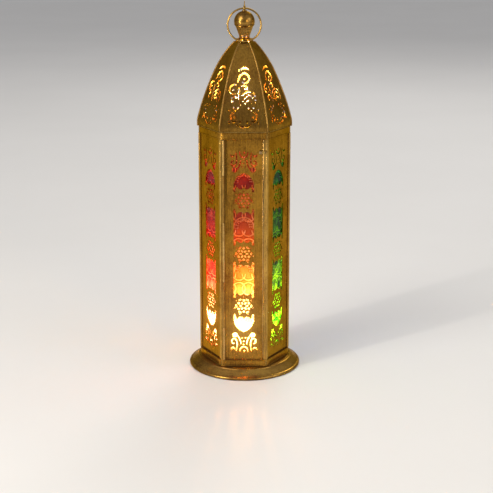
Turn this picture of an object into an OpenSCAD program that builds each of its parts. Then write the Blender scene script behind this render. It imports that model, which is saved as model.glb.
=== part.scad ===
// Six-sided Ramadan lantern: pierced brass body on a round base, petal roof, domed finial,
// hinged front door, coloured glass and a tea light. Millimetres, +Z up, front face towards -Y,
// origin at the middle of the round base where it stands.

/* [Base] */
// Height of the base's flat top
base_h = 10.2; // [8:0.1:14]
// Radius of the roll round the base's edge
rim_roll_r = 1.8; // [1.5:0.1:2.4]
// How much of the roll is worn flat where it stands
rim_flat = 0.2; // [0.1:0.05:0.4]
// Sheet thickness of the base
base_t = 0.8; // [0.6:0.1:1.2]
// Flat margin of the base outside the body's corners
base_margin = 0.5; // [0.3:0.1:2]
// How far the base's slope and rolled rim reach outside that margin
base_reach = 10.425; // [8:0.025:18]

/* [Body] */
// Distance from the axis to the outer face of the pierced panels
panel_apothem = 40.8; // [39.6:0.2:42.4]
// Height of the body over both bands
body_h = 252; // [248:1:280]
// Height of the bands at the body's foot and head
band_h = 7; // [5:0.5:8]
// Sheet thickness of the bands
band_t = 0.9; // [0.7:0.1:1.2]
// Width of the flanges inside the bands
flange_w = 9.5; // [8:0.5:12]
// Sheet thickness of the pierced panels
sheet_t = 0.6; // [0.4:0.1:1]
// Thickness of the folded corner posts
post_t = 0.7; // [0.5:0.1:1]
// Width of each leg of a folded post, from the corner's fold
post_leg_w = 3.06; // [2.56:0.02:3.46]
// Radius of the bead down each corner
bead_r = 1; // [0.8:0.05:1.2]
// How far the beads stand out of the posts' corners
bead_proud = 0.38; // [0.1:0.02:0.9]
// Thickness of the floor plate
floor_t = 0.8; // [0.6:0.1:1.2]

/* [Door] */
// Gap round the door
door_gap = 0.4; // [0.25:0.05:0.6]
// Gap between the door's edges and the corner posts
side_gap = 0.25; // [0.2:0.05:0.4]
// Outer radius of the hinge knuckles
knuckle_r = 1.15; // [1:0.05:1.4]
// Radius of the hinge pin
pin_r = 0.6; // [0.5:0.05:0.7]
// Gap between neighbouring knuckles
knuckle_gap = 0.2; // [0.1:0.05:0.4]
// Width of the hinge leaf on the door
leaf_w = 4.2; // [3.5:0.1:5]
// Radius of the bead at the door's free edge
edge_bead_r = 0.7; // [0.5:0.05:0.9]

/* [Latch] */
// Distance from the latch's rivet up to the door's top edge
latch_drop = 12.8; // [10:0.1:20]
// Distance from the latch's rivet to its peg
latch_len = 4.6; // [4.4:0.1:4.9]
// Radius of the latch's pivot end
latch_r = 1.9; // [1.7:0.05:2]
// Thickness of the latch
latch_t = 0.7; // [0.5:0.1:0.9]
// Radius of the latch's rivet
rivet_r = 0.8; // [0.7:0.05:0.9]
// Radius of the peg that the latch drops over
peg_r = 0.6; // [0.5:0.05:0.7]

/* [Glass] */
// Width of each pane
glass_w = 37.6; // [36:0.1:38.2]
// Thickness of each pane
glass_t = 2; // [1.6:0.1:2.4]
// How far each pane stops short of the door's height at each end
glass_short = 1.5; // [1:0.1:4]
// Height of each glass clip
clip_h = 8; // [5:0.5:12]
// Height of the clips above and below the middle of the panes
clip_rise = 88; // [60:1:95]
// Sheet thickness of the clips
clip_t = 0.6; // [0.4:0.05:0.7]
// How far a clip reaches over its pane
clip_lip = 1.8; // [1:0.1:3]

/* [Panel piercing] */
// How far the pattern's middle lies below the door's middle
pattern_drop = 2; // [0:0.1:5]
// Plain sheet above and below the pattern, on the average
pattern_margin = 9.125; // [6:0.125:14]
// Height from a medallion's middle to the windows' prongs beside it
medallion_gap = 8.925; // [8.725:0.025:9.5]
// Radius of the ring of slots in a medallion
slot_ring_r = 7.8; // [7.6:0.1:8]
// Length of those slots
slot_len = 3.6; // [2.6:0.1:3.8]
// Width of those slots
slot_w = 2.1; // [1.4:0.1:2.2]
// Radius of the ring of round holes in a medallion
hole_ring_r = 6.2; // [6:0.1:6.3]
// Radius of those round holes
hole_r = 1.35; // [0.8:0.05:1.4]
// Length of the diamonds round a medallion's middle
diamond_len = 4; // [3:0.1:4.1]
// Width of those diamonds
diamond_w = 2.6; // [1.8:0.1:2.7]
// Radius from a medallion's middle to its diamonds' middles
diamond_ring_r = 3.2; // [3.1:0.05:3.3]
// Radius of the ring of small dots outside a medallion
dot_ring_r = 9.9; // [9.8:0.05:10]
// Radius of those small dots
dot_r = 0.6; // [0.3:0.05:0.65]
// Half the width of the windows
window_half_w = 10.6; // [10:0.1:11.4]
// Height of the prongs at a window's corners
prong_h = 4.6; // [4:0.1:5]
// Width of the prongs at a window's corners
prong_w = 2.6; // [2.2:0.1:2.8]
// Radius of the lobes at a window's ends
lobe_r = 3.3; // [3:0.05:3.6]
// How far the lobes rise past the notches
lobe_rise = 1.6; // [1.2:0.1:1.8]
// How far the teeth outside the lobes reach past the notches
tooth_drop = 1; // [0.4:0.1:1.5]
// Height of the pointed end windows from their prongs' tips to their points
arch_h = 19.9; // [19:0.1:21]
// Height of the curved sides of the pointed end windows
arch_rise = 13.9; // [12:0.1:14.5]
// Half the width of the scroll work beside the pointed windows
scroll_half_w = 14; // [12:0.1:15]
// Height of the scroll work
scroll_h = 22.4; // [20:0.1:23]
// Gap between a pointed window and the scroll work
scroll_gap = 1.2; // [1:0.1:1.8]
// Width of the scroll work's cuts
scroll_w = 1.5; // [1.2:0.05:1.7]

/* [Roof] */
// Distance from the axis to the roof's upright skirt
roof_apothem = 42.5; // [42:0.1:43.5]
// Height of the upright skirt
skirt_h = 3.8; // [3:0.1:8]
// Sheet thickness of the petals
petal_t = 0.7; // [0.5:0.1:1]
// Radius of the shoulder above the skirt
shoulder_r = 26; // [24:1:30]
// Radius of the roof's long flank
flank_r = 322; // [315:1:330]
// Distance from the axis to the petals' tips
tip_apothem = 7.6675; // [7.4:0.0025:8.1]
// Width of the ribs between the petals
rib_w = 1.8; // [1.4:0.1:2.4]
// How far the ribs stand out of the petals
rib_out = 0.3; // [0.2:0.05:0.8]
// Depth of the ribs inside the petals' faces
rib_in = 0.7; // [0.5:0.05:1]
// Half the width of the scrolls cut in a petal
arabesque_half_w = 15; // [12:0.1:15.5]
// Height of the scrolls cut in a petal
arabesque_h = 60; // [54:0.5:62]
// Height from the roof's foot to the scrolls' foot
arabesque_rise = 5; // [4:0.1:8]
// Width of the scrolls' cuts
arabesque_w = 1.7; // [1.3:0.05:1.9]
// Radius of the small holes in a petal
petal_dot_r = 0.95; // [0.6:0.05:1.1]

/* [Finial] */
// Radius of the collar over the petals' tips
collar_r = 9; // [8.6:0.1:9.6]
// Thickness of the collar
collar_t = 1.3; // [1:0.1:2]
// Radius of the neck's straight foot
neck_r = 5.5; // [5.1:0.1:6]
// Height of the neck's straight foot
neck_h = 3; // [2:0.1:5]
// Height of the neck's flare
flare_h = 10.6; // [9:0.1:13]
// Radius at the top of the flare
flare_r = 9.6; // [9.2:0.1:9.7]
// Wall of the neck and the dome
finial_t = 0.8; // [0.6:0.1:0.9]
// Number of flutes round the flare
flutes = 16; // [10:1:18]
// Radius of the flutes
flute_r = 0.6; // [0.4:0.05:0.7]
// Number of vents round the neck
vents = 8; // [6:1:8]
// Width of the vents
vent_w = 1.6; // [1.2:0.1:1.9]
// Radius of the dome
dome_r = 10.6; // [10.3:0.1:11.5]
// Radius of the dome's seat on the neck
dome_seat_r = 9.9; // [9.8:0.05:10]
// Radius of the eye on top
eye_r = 2.3; // [2:0.1:2.6]
// Thickness of the eye
eye_t = 2.4; // [2:0.1:3]
// Radius of the eye's stem
stem_r = 1.2; // [1:0.05:1.4]
// Height of the spike above the eye
spike_h = 5.7; // [4:0.1:10]
// Radius of the hanging ring to the middle of its wire
ring_r = 17; // [16.6:0.1:18]
// Radius of the ring's wire
wire_r = 0.9; // [0.7:0.05:1]
// Forward lean of the ring where it rests on the roof
ring_lean = 17; // [17:0.5:30]

/* [Candle] */
// Radius of the tea light's cup
tealight_r = 19; // [18.5:0.1:19.5]
// Height of the tea light's cup
tealight_h = 15; // [12:0.5:22]
// Wall of the tea light's cup
cup_t = 0.4; // [0.3:0.05:0.6]
// Depth of the wax's surface below the cup's edge
wax_drop = 3.5; // [1:0.1:5]
// Radius of the wick
wick_r = 0.8; // [0.5:0.05:1]
// Height of the wick above the wax
wick_h = 6; // [3:0.1:8]
// Gap between the tea light and its holder
holder_gap = 1; // [0.6:0.1:1.5]
// Height of the holder's wall
holder_h = 9; // [6:0.5:12]
// Sheet thickness of the holder
holder_t = 0.6; // [0.4:0.1:1]

/* [Hidden] */
FACES = ["front", "right", "back_right", "back", "back_left", "left"];

$fn = 48;

// Clearances and the overrun of every cut
fit_gap = 0.1;
running_gap = 0.05;
overrun = 1;

// Finishes
BRASS = "#9a7430";
DARK_BRASS = "#6e5122";
TIN = "#c9c9c6";
WAX = "#f4ead2";
GLASS_COLOURS = ["#ff9a1f", "#1f8f4c", "#2f6fc4", "#7a3fb0", "#e0b020", "#c82020"];

// Heights of the body
foot_z = base_h;
head_z = base_h + body_h;
inner_z0 = foot_z + band_t;
inner_z1 = head_z - band_t;
door_z0 = foot_z + band_h + door_gap;
door_z1 = head_z - band_h - door_gap;
door_h = door_z1 - door_z0;
pattern_z = (door_z0 + door_z1) / 2 - pattern_drop;
end_h = arch_h + scroll_gap + scroll_h;
medallion_pitch = door_h / 2 - pattern_margin - end_h - medallion_gap;
window_tip = medallion_pitch / 2 - medallion_gap;
window_notch = window_tip - prong_h;
floor_z = inner_z0 + floor_t;

// Distances of the body's flat faces from its axis
post_apothem = panel_apothem + post_t;
band_in = post_apothem + fit_gap;
band_out = band_in + band_t;
flange_in = band_out - flange_w;
sheet_in = panel_apothem - sheet_t;
glass_out = sheet_in - fit_gap;
glass_in = glass_out - glass_t;
clip_in = glass_in - fit_gap - clip_t;
floor_apothem = clip_in - clip_t;
base_flat_r = band_out / cos(30) + base_margin;
base_r = base_flat_r + base_reach;
ridge_r = post_apothem / cos(30) + bead_proud;
leg_x = post_apothem * tan(30) - post_leg_w;
door_w = 2 * (leg_x - side_gap);
panel_half_w = sheet_in * tan(30) - 2 * fit_gap;

// Hinge line
hinge_x = -(door_w + side_gap) / 2;
hinge_out = post_apothem + knuckle_r + 1.5 * fit_gap;
knuckle_shares = [0, 0.153, 0.364, 0.634, 0.845, 1];

// Latch
latch_z = door_z1 - latch_drop;
latch_x = door_w / 2 - latch_r - edge_bead_r - 2 * fit_gap - (latch_len - latch_r) / 6;
latch_in = ridge_r * cos(30) + 2.2 * fit_gap;
latch_out = latch_in + latch_t;
latch_notch_r = peg_r + 2 * fit_gap;
latch_tip_r = latch_notch_r + latch_t * 1.2;
rivet_head_r = rivet_r * 2;
rivet_head_t = latch_t * 0.8;

// Outline of one scroll: each row is a cut, as shares of half width and height from the foot up
scroll_head_shares = [[0.66, 0.955], [0.44, 0.84], [0.29, 0.66], [0.2, 0.43]];
scroll_head_r_share = 0.125;
scroll_curl_shares = [
    [0.7, 0.5], [0.8, 0.47], [0.9, 0.54], [0.88, 0.66], [0.74, 0.72],
    [0.59, 0.66], [0.52, 0.5], [0.52, 0.32], [0.57, 0.09]
];
scroll_foot_shares = [[0.67, 0.18], [0.76, 0.25], [0.88, 0.27], [0.99, 0.17]];
scroll_arch_shares = [[-0.31, 0.06], [-0.23, 0.24], [0, 0.31], [0.23, 0.24], [0.31, 0.06]];
scroll_dot_shares = [[0, 0.58], [0, 0.41], [0.13, 0.75], [-0.13, 0.75]];
scroll_eye_shares = [[0.04, 0.1]];

// Cuts of one roof petal, as shares of the scrolls' half width and height
petal_cut_shares = [
    [[-0.36, 0.917], [-0.23, 0.95], [-0.05, 0.965], [0.15, 0.967], [0.34, 0.945]],
    [[-0.39, 0.74], [-0.36, 0.785], [-0.24, 0.85], [0.04, 0.888], [0.26, 0.85], [0.36, 0.79],
        [0.25, 0.745], [0.03, 0.725], [-0.13, 0.75]],
    [[-0.5, 0.705], [-0.7, 0.7], [-0.87, 0.675], [-0.95, 0.63], [-0.9, 0.58], [-0.75, 0.555],
        [-0.52, 0.56]],
    [[-0.17, 0.675], [0, 0.69], [0.15, 0.676], [0.19, 0.655], [0.13, 0.635], [0, 0.63]],
    [[-0.33, 0.66], [-0.32, 0.58], [-0.3, 0.49], [-0.22, 0.38]],
    [[-0.47, 0.495], [-0.62, 0.515], [-0.76, 0.49], [-0.78, 0.45], [-0.68, 0.425]],
    [[-0.1, 0.535], [0.08, 0.572], [0.3, 0.594], [0.47, 0.588]],
    [[-0.06, 0.435], [0.04, 0.49], [0.24, 0.535], [0.45, 0.53], [0.58, 0.487]],
    [[0.09, 0.395], [0.16, 0.435], [0.31, 0.46], [0.46, 0.44], [0.53, 0.4]],
    [[0.6, 0.59], [0.71, 0.545], [0.78, 0.48], [0.78, 0.41]],
    [[-0.52, 0.06], [-0.3, 0.03], [0, 0.02], [0.3, 0.03], [0.52, 0.06]],
    [[0.42, 0.13], [0.62, 0.1], [0.8, 0.125], [0.88, 0.19], [0.79, 0.25], [0.6, 0.255]],
    [[-0.42, 0.13], [-0.62, 0.1], [-0.8, 0.125], [-0.88, 0.19], [-0.79, 0.25], [-0.6, 0.255]]
];
petal_dot_shares = [
    [-0.7, 0.62], [0.03, 0.79], [0.33, 0.33], [0.5, 0.29], [0.66, 0.33], [-0.38, 0.33], [-0.55, 0.3],
    [-0.7, 0.33], [-0.97, 0.295], [0.97, 0.295], [-0.62, 0.18], [0.62, 0.18], [-0.96, 0.09], [0.96, 0.09],
    [-0.24, 0.1], [0.24, 0.1]
];

// Turns of the roof's three arcs, from upright
shoulder_turn = 13;
flank_turn = 9;
crown_turn = 19;
rib_turn_share = 0.92;

// Radius of the crown, which carries the petals from the flank's end to their tips
flank_end = shoulder_turn + flank_turn;
flank_apothem = roof_apothem - shoulder_r * (1 - cos(shoulder_turn))
    - flank_r * (cos(shoulder_turn) - cos(flank_end));
crown_r = (flank_apothem - tip_apothem) / (cos(flank_end) - cos(flank_end + crown_turn));

// Points per curved stretch
arc_steps = 6;
curve_steps = 5;

function last(p) = p[len(p) - 1];
function reversed(p) = [for (i = [len(p) - 1:-1:0]) p[i]];
function unit(v) = v / norm(v);
function side(v) = [-v[1], v[0]];

// A point of face k's own frame: x along the face, a outwards from the axis
function face_point(k, x, a) = [x * cos(60 * k) + a * sin(60 * k), x * sin(60 * k) - a * cos(60 * k)];

// Points of an arc round c, from angle a0 to angle a1
function polar(r, a) = [r * cos(a), r * sin(a)];
function arc(c, r, a0, a1, n) = [for (i = [0:n]) c + polar(r, a0 + (a1 - a0) * i / n)];

// A smooth curve through hand-chosen points
function between(a, b, c, d, t) =
    (2 * b + (c - a) * t + (2 * a - 5 * b + 4 * c - d) * t * t + (3 * b - a - 3 * c + d) * t * t * t) / 2;
function smooth(p) = [
    for (i = [0:len(p) - 2], j = [0:curve_steps - 1])
        between(p[max(i - 1, 0)], p[i], p[i + 1], p[min(i + 2, len(p) - 1)], j / curve_steps),
    last(p)
];

// Outline of a cut of width w along the curve c, drawn in at both ends
function brush_width(t) = 0.45 + 0.55 * pow(sin(180 * t), 0.6);
function ribbon(c, w) = let (
    n = len(c) - 1,
    off = [for (i = [0:n]) side(unit(c[min(i + 1, n)] - c[max(i - 1, 0)])) * w / 2 * brush_width(i / n)]
) concat(c + off, reversed(c - off));

function sized(p, w, h) = [for (q = p) [q[0] * w, q[1] * h]];

// Roof profile: [distance from the axis, height, heading from upright] along three arcs
function roof_arc(p, r, turn, n) = [
    for (i = [1:n]) let (h = p[2] + turn * i / n, step = polar(r, h) - polar(r, p[2]))
        [p[0] + step[0], p[1] + step[1], h]
];
function roof_path(crown_share) = let (
    foot = [roof_apothem, head_z, 0],
    skirt = [roof_apothem, head_z + skirt_h, 0],
    shoulder = roof_arc(skirt, shoulder_r, shoulder_turn, arc_steps / 2),
    flank = roof_arc(last(shoulder), flank_r, flank_turn, arc_steps),
    crown = roof_arc(last(flank), crown_r, crown_turn * crown_share, arc_steps)
) concat([foot, skirt], shoulder, flank, crown);
function roof_offset(path, d) = [for (p = path) [p[0], p[1]] + polar(d, p[2])];

roof_top = last(roof_path(1));
collar_z = roof_top[1] + fit_gap;
plug_r = roof_top[0] - petal_t - 3 * fit_gap;
collar_bore_r = neck_r - finial_t - 5 * fit_gap;
neck_z = collar_z + collar_t;
flare_z = neck_z + neck_h;
dome_z = flare_z + flare_h;
dome_mid_z = dome_z + sqrt(dome_r * dome_r - dome_seat_r * dome_seat_r);
dome_top_z = dome_mid_z + dome_r - 2 * fit_gap;
eye_foot_r = eye_r + 3 * fit_gap;
eye_foot_t = finial_t;
eye_z = dome_top_z + eye_foot_t + eye_r - 4 * fit_gap;
nut_z1 = dome_mid_z + dome_r - finial_t - 5 * fit_gap;
nut_t = stem_r * 1.8;
nut_r = stem_r * 2.2;

// Holder and tea light
holder_in = tealight_r + holder_gap;
candle_z = floor_z + holder_t;

// Straight six-sided piece between two heights, flat face to the front
module hexagon(apothem, z0, z1) {
    translate([0, 0, z0]) cylinder(r = apothem / cos(30), h = z1 - z0, $fn = 6);
}

// Puts an outline drawn as width and height on face k, from one distance off the axis to another
module on_face(k, a0, a1) {
    rotate([0, 0, 60 * k]) translate([0, -a0, 0]) rotate([90, 0, 0]) linear_extrude(a1 - a0) children();
}

// Stands an outline of face-frame points between two heights
module upright(points, z0, z1) {
    translate([0, 0, z0]) linear_extrude(z1 - z0) polygon(points);
}

module base_tray() {
    roll_x = base_r - rim_roll_r;
    roll_z = rim_roll_r - rim_flat;
    roll_top = roll_z + rim_roll_r;
    color(BRASS) difference() {
        rotate_extrude() {
            polygon([
                [0, base_h - base_t], [base_flat_r - base_t / 3, base_h - base_t], [roll_x, roll_top - base_t],
                [roll_x, roll_top], [base_flat_r, base_h], [0, base_h]
            ]);
            translate([roll_x, roll_z]) circle(rim_roll_r);
        }
        translate([0, 0, -base_h]) cylinder(r = base_r + overrun, h = base_h);
    }
}

module floor_plate() {
    color(DARK_BRASS) hexagon(floor_apothem, inner_z0, floor_z);
}

// One band with its flange, foot side down
module frame_band(z0, flange_z) {
    difference() {
        hexagon(band_out, z0, z0 + band_h);
        hexagon(band_in, z0 - overrun, z0 + band_h + overrun);
    }
    difference() {
        hexagon(band_out, flange_z, flange_z + band_t);
        hexagon(flange_in, flange_z - overrun, flange_z + band_t + overrun);
    }
}

module bottom_frame() {
    color(BRASS) frame_band(foot_z, foot_z);
}

module top_frame() {
    color(BRASS) frame_band(head_z - band_h, head_z - band_t);
}

// Folded post over the corner between face k and the next, with a bead down its ridge
module corner_post(k) {
    bead = (ridge_r - bead_r) * unit(face_point(0, tan(30), 1));
    color(BRASS) rotate([0, 0, 60 * k]) difference() {
        union() {
            upright([
                face_point(0, leg_x, post_apothem), face_point(0, post_apothem * tan(30), post_apothem),
                face_point(1, -leg_x, post_apothem), face_point(1, -leg_x, panel_apothem),
                face_point(0, panel_apothem * tan(30), panel_apothem), face_point(0, leg_x, panel_apothem)
            ], inner_z0, inner_z1);
            translate([bead[0], bead[1], door_z0]) cylinder(r = bead_r, h = door_h);
        }
        hexagon(panel_apothem, inner_z0 - overrun, inner_z1 + overrun);
    }
}

// One slot along X with round ends
module slot(length, width) {
    run = length - width;
    end = width / 2;
    right = arc([run / 2, 0], end, -90, 90, arc_steps);
    polygon(concat(right, arc([-run / 2, 0], end, 90, 270, arc_steps)));
}

// Six-pointed star rosette: diamonds, round holes and slots in rings, and seven small dots
module medallion() {
    for (a = [0:60:300]) {
        rotate(a) translate([diamond_ring_r, 0])
            polygon([[-diamond_len / 2, 0], [0, -diamond_w / 2], [diamond_len / 2, 0], [0, diamond_w / 2]]);
        rotate(a + 30) translate([hole_ring_r, 0]) circle(hole_r);
        rotate(a) translate([slot_ring_r, 0]) rotate(90) slot(slot_len, slot_w);
    }
    for (i = [0:6]) rotate(90 + 360 * i / 7) translate([dot_ring_r, 0]) circle(dot_r);
}

// Scalloped end of a window, from its left side to its right, with its notches at height h
function scallop(h, tip) = let (
    lobe_h = h + lobe_rise - lobe_r,
    start = asin((lobe_r - lobe_rise - tooth_drop) / lobe_r),
    inner = window_half_w - prong_w,
    ease = prong_w / 3
) concat(
    [[-window_half_w, tip - ease], [-window_half_w + ease, tip], [-inner - ease, tip], [-inner, h]],
    arc([-lobe_r, lobe_h], lobe_r, 180 - start, 4, 2 * arc_steps),
    arc([lobe_r, lobe_h], lobe_r, 176, start, 2 * arc_steps),
    [[inner, h], [inner + ease, tip], [window_half_w - ease, tip], [window_half_w, tip - ease]]
);
function flipped(p) = reversed(sized(p, 1, -1));

module window() {
    end = scallop(window_notch, window_tip);
    polygon(concat(end, flipped(end)));
}

// Window that ends in a point, with its prongs' tips at the origin and its point upwards
module pointed_window() {
    spring = arch_h - arch_rise;
    r = (window_half_w * window_half_w + arch_rise * arch_rise) / (2 * window_half_w);
    sweep = asin(arch_rise / r);
    right = arc([window_half_w - r, spring], r, 0, sweep, 2 * arc_steps);
    left = arc([r - window_half_w, spring], r, 180 - sweep, 180, 2 * arc_steps);
    foot = sized(scallop(-prong_h, 0), 1, -1);
    polygon(concat(foot, right, [for (i = [1:2 * arc_steps]) left[i]]));
}

// Mirrored scroll work with its foot at the origin and its heads upwards
module scroll_work() {
    head_r = scroll_h * scroll_head_r_share;
    for (s = [-1, 1]) {
        heads = sized(scroll_head_shares, s * scroll_half_w, scroll_h);
        polygon(ribbon(smooth(heads), scroll_w));
        translate(heads[0] - [0, head_r / 2]) circle(head_r);
        polygon(ribbon(smooth(sized(scroll_curl_shares, s * scroll_half_w, scroll_h)), scroll_w));
        polygon(ribbon(smooth(sized(scroll_foot_shares, s * scroll_half_w, scroll_h)), scroll_w));
    }
    polygon(ribbon(smooth(sized(scroll_arch_shares, scroll_half_w, scroll_h)), scroll_w));
    for (p = sized(scroll_dot_shares, scroll_half_w, scroll_h)) translate(p) circle(scroll_w / 2);
    for (p = sized(scroll_eye_shares, scroll_half_w, scroll_h)) translate(p) circle(scroll_w * 0.7);
}

// Every cut of one panel, about the pattern's middle
module piercing() {
    first_window = medallion_pitch / 2;
    end_tip = medallion_pitch + first_window - window_tip;
    scroll_top = end_tip + arch_h + scroll_gap;
    for (i = [-1:1]) translate([0, i * medallion_pitch]) medallion();
    for (s = [-1, 1]) {
        translate([0, s * first_window]) window();
        mirror([0, (1 - s) / 2]) {
            translate([0, end_tip]) pointed_window();
            translate([0, scroll_top + scroll_h]) mirror([0, 1]) scroll_work();
        }
    }
}

// Pierced sheet of face k
module pierced_sheet(k, half_w, z0, z1) {
    on_face(k, sheet_in, panel_apothem) difference() {
        translate([-half_w, z0]) square([2 * half_w, z1 - z0]);
        translate([0, pattern_z]) piercing();
    }
}

module side_panel(k) {
    color(BRASS) pierced_sheet(k, panel_half_w, inner_z0, inner_z1);
}

module door_panel() {
    bead_x = door_w / 2 - edge_bead_r;
    bead_y = -(sheet_in + edge_bead_r);
    color(BRASS) {
        pierced_sheet(0, door_w / 2, door_z0, door_z1);
        translate([bead_x, bead_y, door_z0]) cylinder(r = edge_bead_r, h = door_h);
    }
}

module pane(k) {
    color(GLASS_COLOURS[k], 0.6) on_face(k, glass_in, glass_out)
        translate([-glass_w / 2, door_z0 + glass_short]) square([glass_w, door_h - 2 * glass_short]);
}

// Four bent tabs soldered beside the pane of face k
module clips(k) {
    x = glass_w / 2 + fit_gap;
    foot_x = x + 2 * clip_t;
    lip_x = glass_w / 2 - clip_lip;
    tab = [
        [x, clip_in + clip_t], [lip_x, clip_in + clip_t], [lip_x, clip_in], [x + clip_t, clip_in],
        [x + clip_t, sheet_in - clip_t], [foot_x, sheet_in - clip_t], [foot_x, sheet_in], [x, sheet_in]
    ];
    mid = (door_z0 + door_z1) / 2;
    for (s = [-1, 1], z = [mid - clip_rise, mid + clip_rise])
        upright([for (p = tab) face_point(k, s * p[0], p[1])], z - clip_h / 2, z + clip_h / 2);
}

module clips_body() {
    color(DARK_BRASS) for (k = [1:5]) clips(k);
}

module clips_door() {
    color(DARK_BRASS) clips(0);
}

// Knuckle i from the foot, rolled from a strip that goes back to its leaf on side s
module knuckle(i, s, bore_r, back) {
    z0 = door_z0 + door_h * knuckle_shares[i] + knuckle_gap / 2;
    z1 = door_z0 + door_h * knuckle_shares[i + 1] - knuckle_gap / 2;
    near = hinge_x + s * side_gap / 2;
    far = hinge_x + s * knuckle_r;
    difference() {
        union() {
            translate([hinge_x, -hinge_out, z0]) cylinder(r = knuckle_r, h = z1 - z0);
            upright([[near, -hinge_out], [far, -hinge_out], [far, -back], [near, -back]], z0, z1);
        }
        translate([hinge_x, -hinge_out, z0 - overrun]) cylinder(r = bore_r, h = z1 - z0 + 2 * overrun);
    }
}

module hinge_door_leaf() {
    bore_r = pin_r + running_gap;
    plate_x = hinge_x + side_gap / 2;
    color(DARK_BRASS) {
        for (i = [0, 2, 4]) knuckle(i, 1, bore_r, panel_apothem);
        translate([plate_x, -post_apothem, door_z0 + knuckle_gap / 2])
            cube([leaf_w, post_t, door_h - knuckle_gap]);
    }
}

module hinge_frame_leaf() {
    bore_r = pin_r + running_gap / 5;
    color(DARK_BRASS) for (i = [1, 3]) knuckle(i, -1, bore_r, post_apothem);
}

module hinge_pin() {
    color(TIN) translate([hinge_x, -hinge_out, door_z0]) cylinder(r = pin_r, h = door_h);
}

module latch_hook() {
    color(DARK_BRASS) on_face(0, latch_in, latch_out) translate([latch_x, latch_z]) difference() {
        union() {
            circle(latch_r);
            translate([0, -latch_tip_r]) square([latch_len, 2 * latch_tip_r]);
            translate([latch_len, 0]) circle(latch_tip_r);
        }
        circle(rivet_r + running_gap);
        translate([latch_len, 0]) circle(latch_notch_r);
        translate([latch_len - latch_notch_r, -latch_tip_r - overrun])
            square([2 * latch_notch_r, latch_tip_r + overrun]);
    }
}

module latch_rivet() {
    color(TIN) translate([latch_x, -panel_apothem, latch_z]) rotate([90, 0, 0]) {
        cylinder(r = rivet_head_r, h = latch_in - panel_apothem - fit_gap);
        cylinder(r = rivet_r, h = latch_out - panel_apothem + fit_gap);
        translate([0, 0, latch_out - panel_apothem + fit_gap]) cylinder(r = rivet_head_r, h = rivet_head_t);
    }
}

module latch_peg() {
    color(TIN) translate([latch_x + latch_len, -post_apothem, latch_z]) rotate([90, 0, 0])
        cylinder(r = peg_r, h = latch_out - post_apothem + 2 * fit_gap);
}

// Cuts of one roof petal, drawn as width and height
module arabesque() {
    for (c = petal_cut_shares)
        polygon(ribbon(smooth(sized(c, arabesque_half_w, arabesque_h)), arabesque_w));
    for (p = sized(petal_dot_shares, arabesque_half_w, arabesque_h)) translate(p) circle(petal_dot_r);
}

module roof_petal(k) {
    path = roof_path(1);
    inset = rib_w / 2 + fit_gap;
    reach = roof_apothem + overrun;
    wide = (reach - 2 * inset) * tan(30);
    wedge = [[0, -2 * inset], [-wide, -reach], [wide, -reach]];
    color(BRASS) rotate([0, 0, 60 * k]) difference() {
        intersection() {
            rotate([90, 0, -90]) translate([0, 0, -wide]) linear_extrude(2 * wide)
                polygon(concat(roof_offset(path, 0), reversed(roof_offset(path, -petal_t))));
            upright(wedge, head_z - overrun, roof_top[1] + overrun);
        }
        translate([0, 0, head_z + arabesque_rise]) rotate([90, 0, 0]) linear_extrude(reach) arabesque();
    }
}

module roof_rib(k) {
    path = roof_path(rib_turn_share);
    outer = roof_offset(path, rib_out);
    inner = roof_offset(path, -rib_in);
    points = concat(outer, reversed(inner));
    color(DARK_BRASS) rotate([0, 0, 60 * k + 30]) rotate([90, 0, -90]) translate([0, 0, -rib_w / 2])
        linear_extrude(rib_w) polygon([for (p = points) [p[0] / cos(30), p[1]]]);
}

module roof_collar() {
    color(DARK_BRASS) rotate_extrude() polygon([
        [collar_bore_r, collar_z - collar_t], [plug_r, collar_z - collar_t], [plug_r, collar_z],
        [collar_r, collar_z], [collar_r, neck_z], [collar_bore_r, neck_z]
    ]);
}

module finial_neck() {
    lean = atan((flare_r - neck_r) / flare_h);
    color(BRASS) difference() {
        rotate_extrude() polygon([
            [neck_r - finial_t, neck_z], [neck_r, neck_z], [neck_r, flare_z], [flare_r, dome_z],
            [flare_r - finial_t, dome_z], [neck_r - finial_t, flare_z]
        ]);
        for (i = [0:flutes - 1])
            rotate([0, 0, 360 * i / flutes]) translate([neck_r + flute_r / 2, 0, flare_z])
                rotate([0, lean, 0]) cylinder(r = flute_r, h = flare_h * 2);
        for (i = [0:vents - 1]) rotate([0, 0, 360 * (i + 0.5) / vents])
            translate([0, -vent_w / 2, neck_z + finial_t]) cube([neck_r + overrun, vent_w, neck_h]);
    }
}

module finial_dome() {
    color(BRASS) difference() {
        translate([0, 0, dome_mid_z]) sphere(dome_r);
        translate([0, 0, dome_mid_z]) sphere(dome_r - finial_t);
        translate([0, 0, dome_z - 2 * dome_r]) cylinder(r = 2 * dome_r, h = 2 * dome_r);
        translate([0, 0, dome_top_z]) cylinder(r = dome_r, h = dome_r);
        cylinder(r = stem_r + fit_gap, h = dome_top_z + overrun);
    }
}

module finial_eye() {
    stem_z = nut_z1 - nut_t - stem_r;
    spike_z = eye_z + eye_r - 3 * fit_gap;
    color(DARK_BRASS) difference() {
        union() {
            translate([0, 0, stem_z]) cylinder(r = stem_r, h = dome_top_z + stem_r - stem_z);
            translate([0, 0, dome_top_z]) cylinder(r = eye_foot_r, h = eye_foot_t);
            translate([-eye_t / 2, 0, eye_z]) rotate([0, 90, 0]) cylinder(r = eye_r, h = eye_t);
            translate([0, 0, spike_z]) cylinder(r1 = wire_r * 0.8, r2 = wire_r * 0.4, h = spike_h);
        }
        translate([-eye_t, 0, eye_z]) rotate([0, 90, 0]) cylinder(r = wire_r + 3 * fit_gap, h = 2 * eye_t);
    }
}

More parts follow.
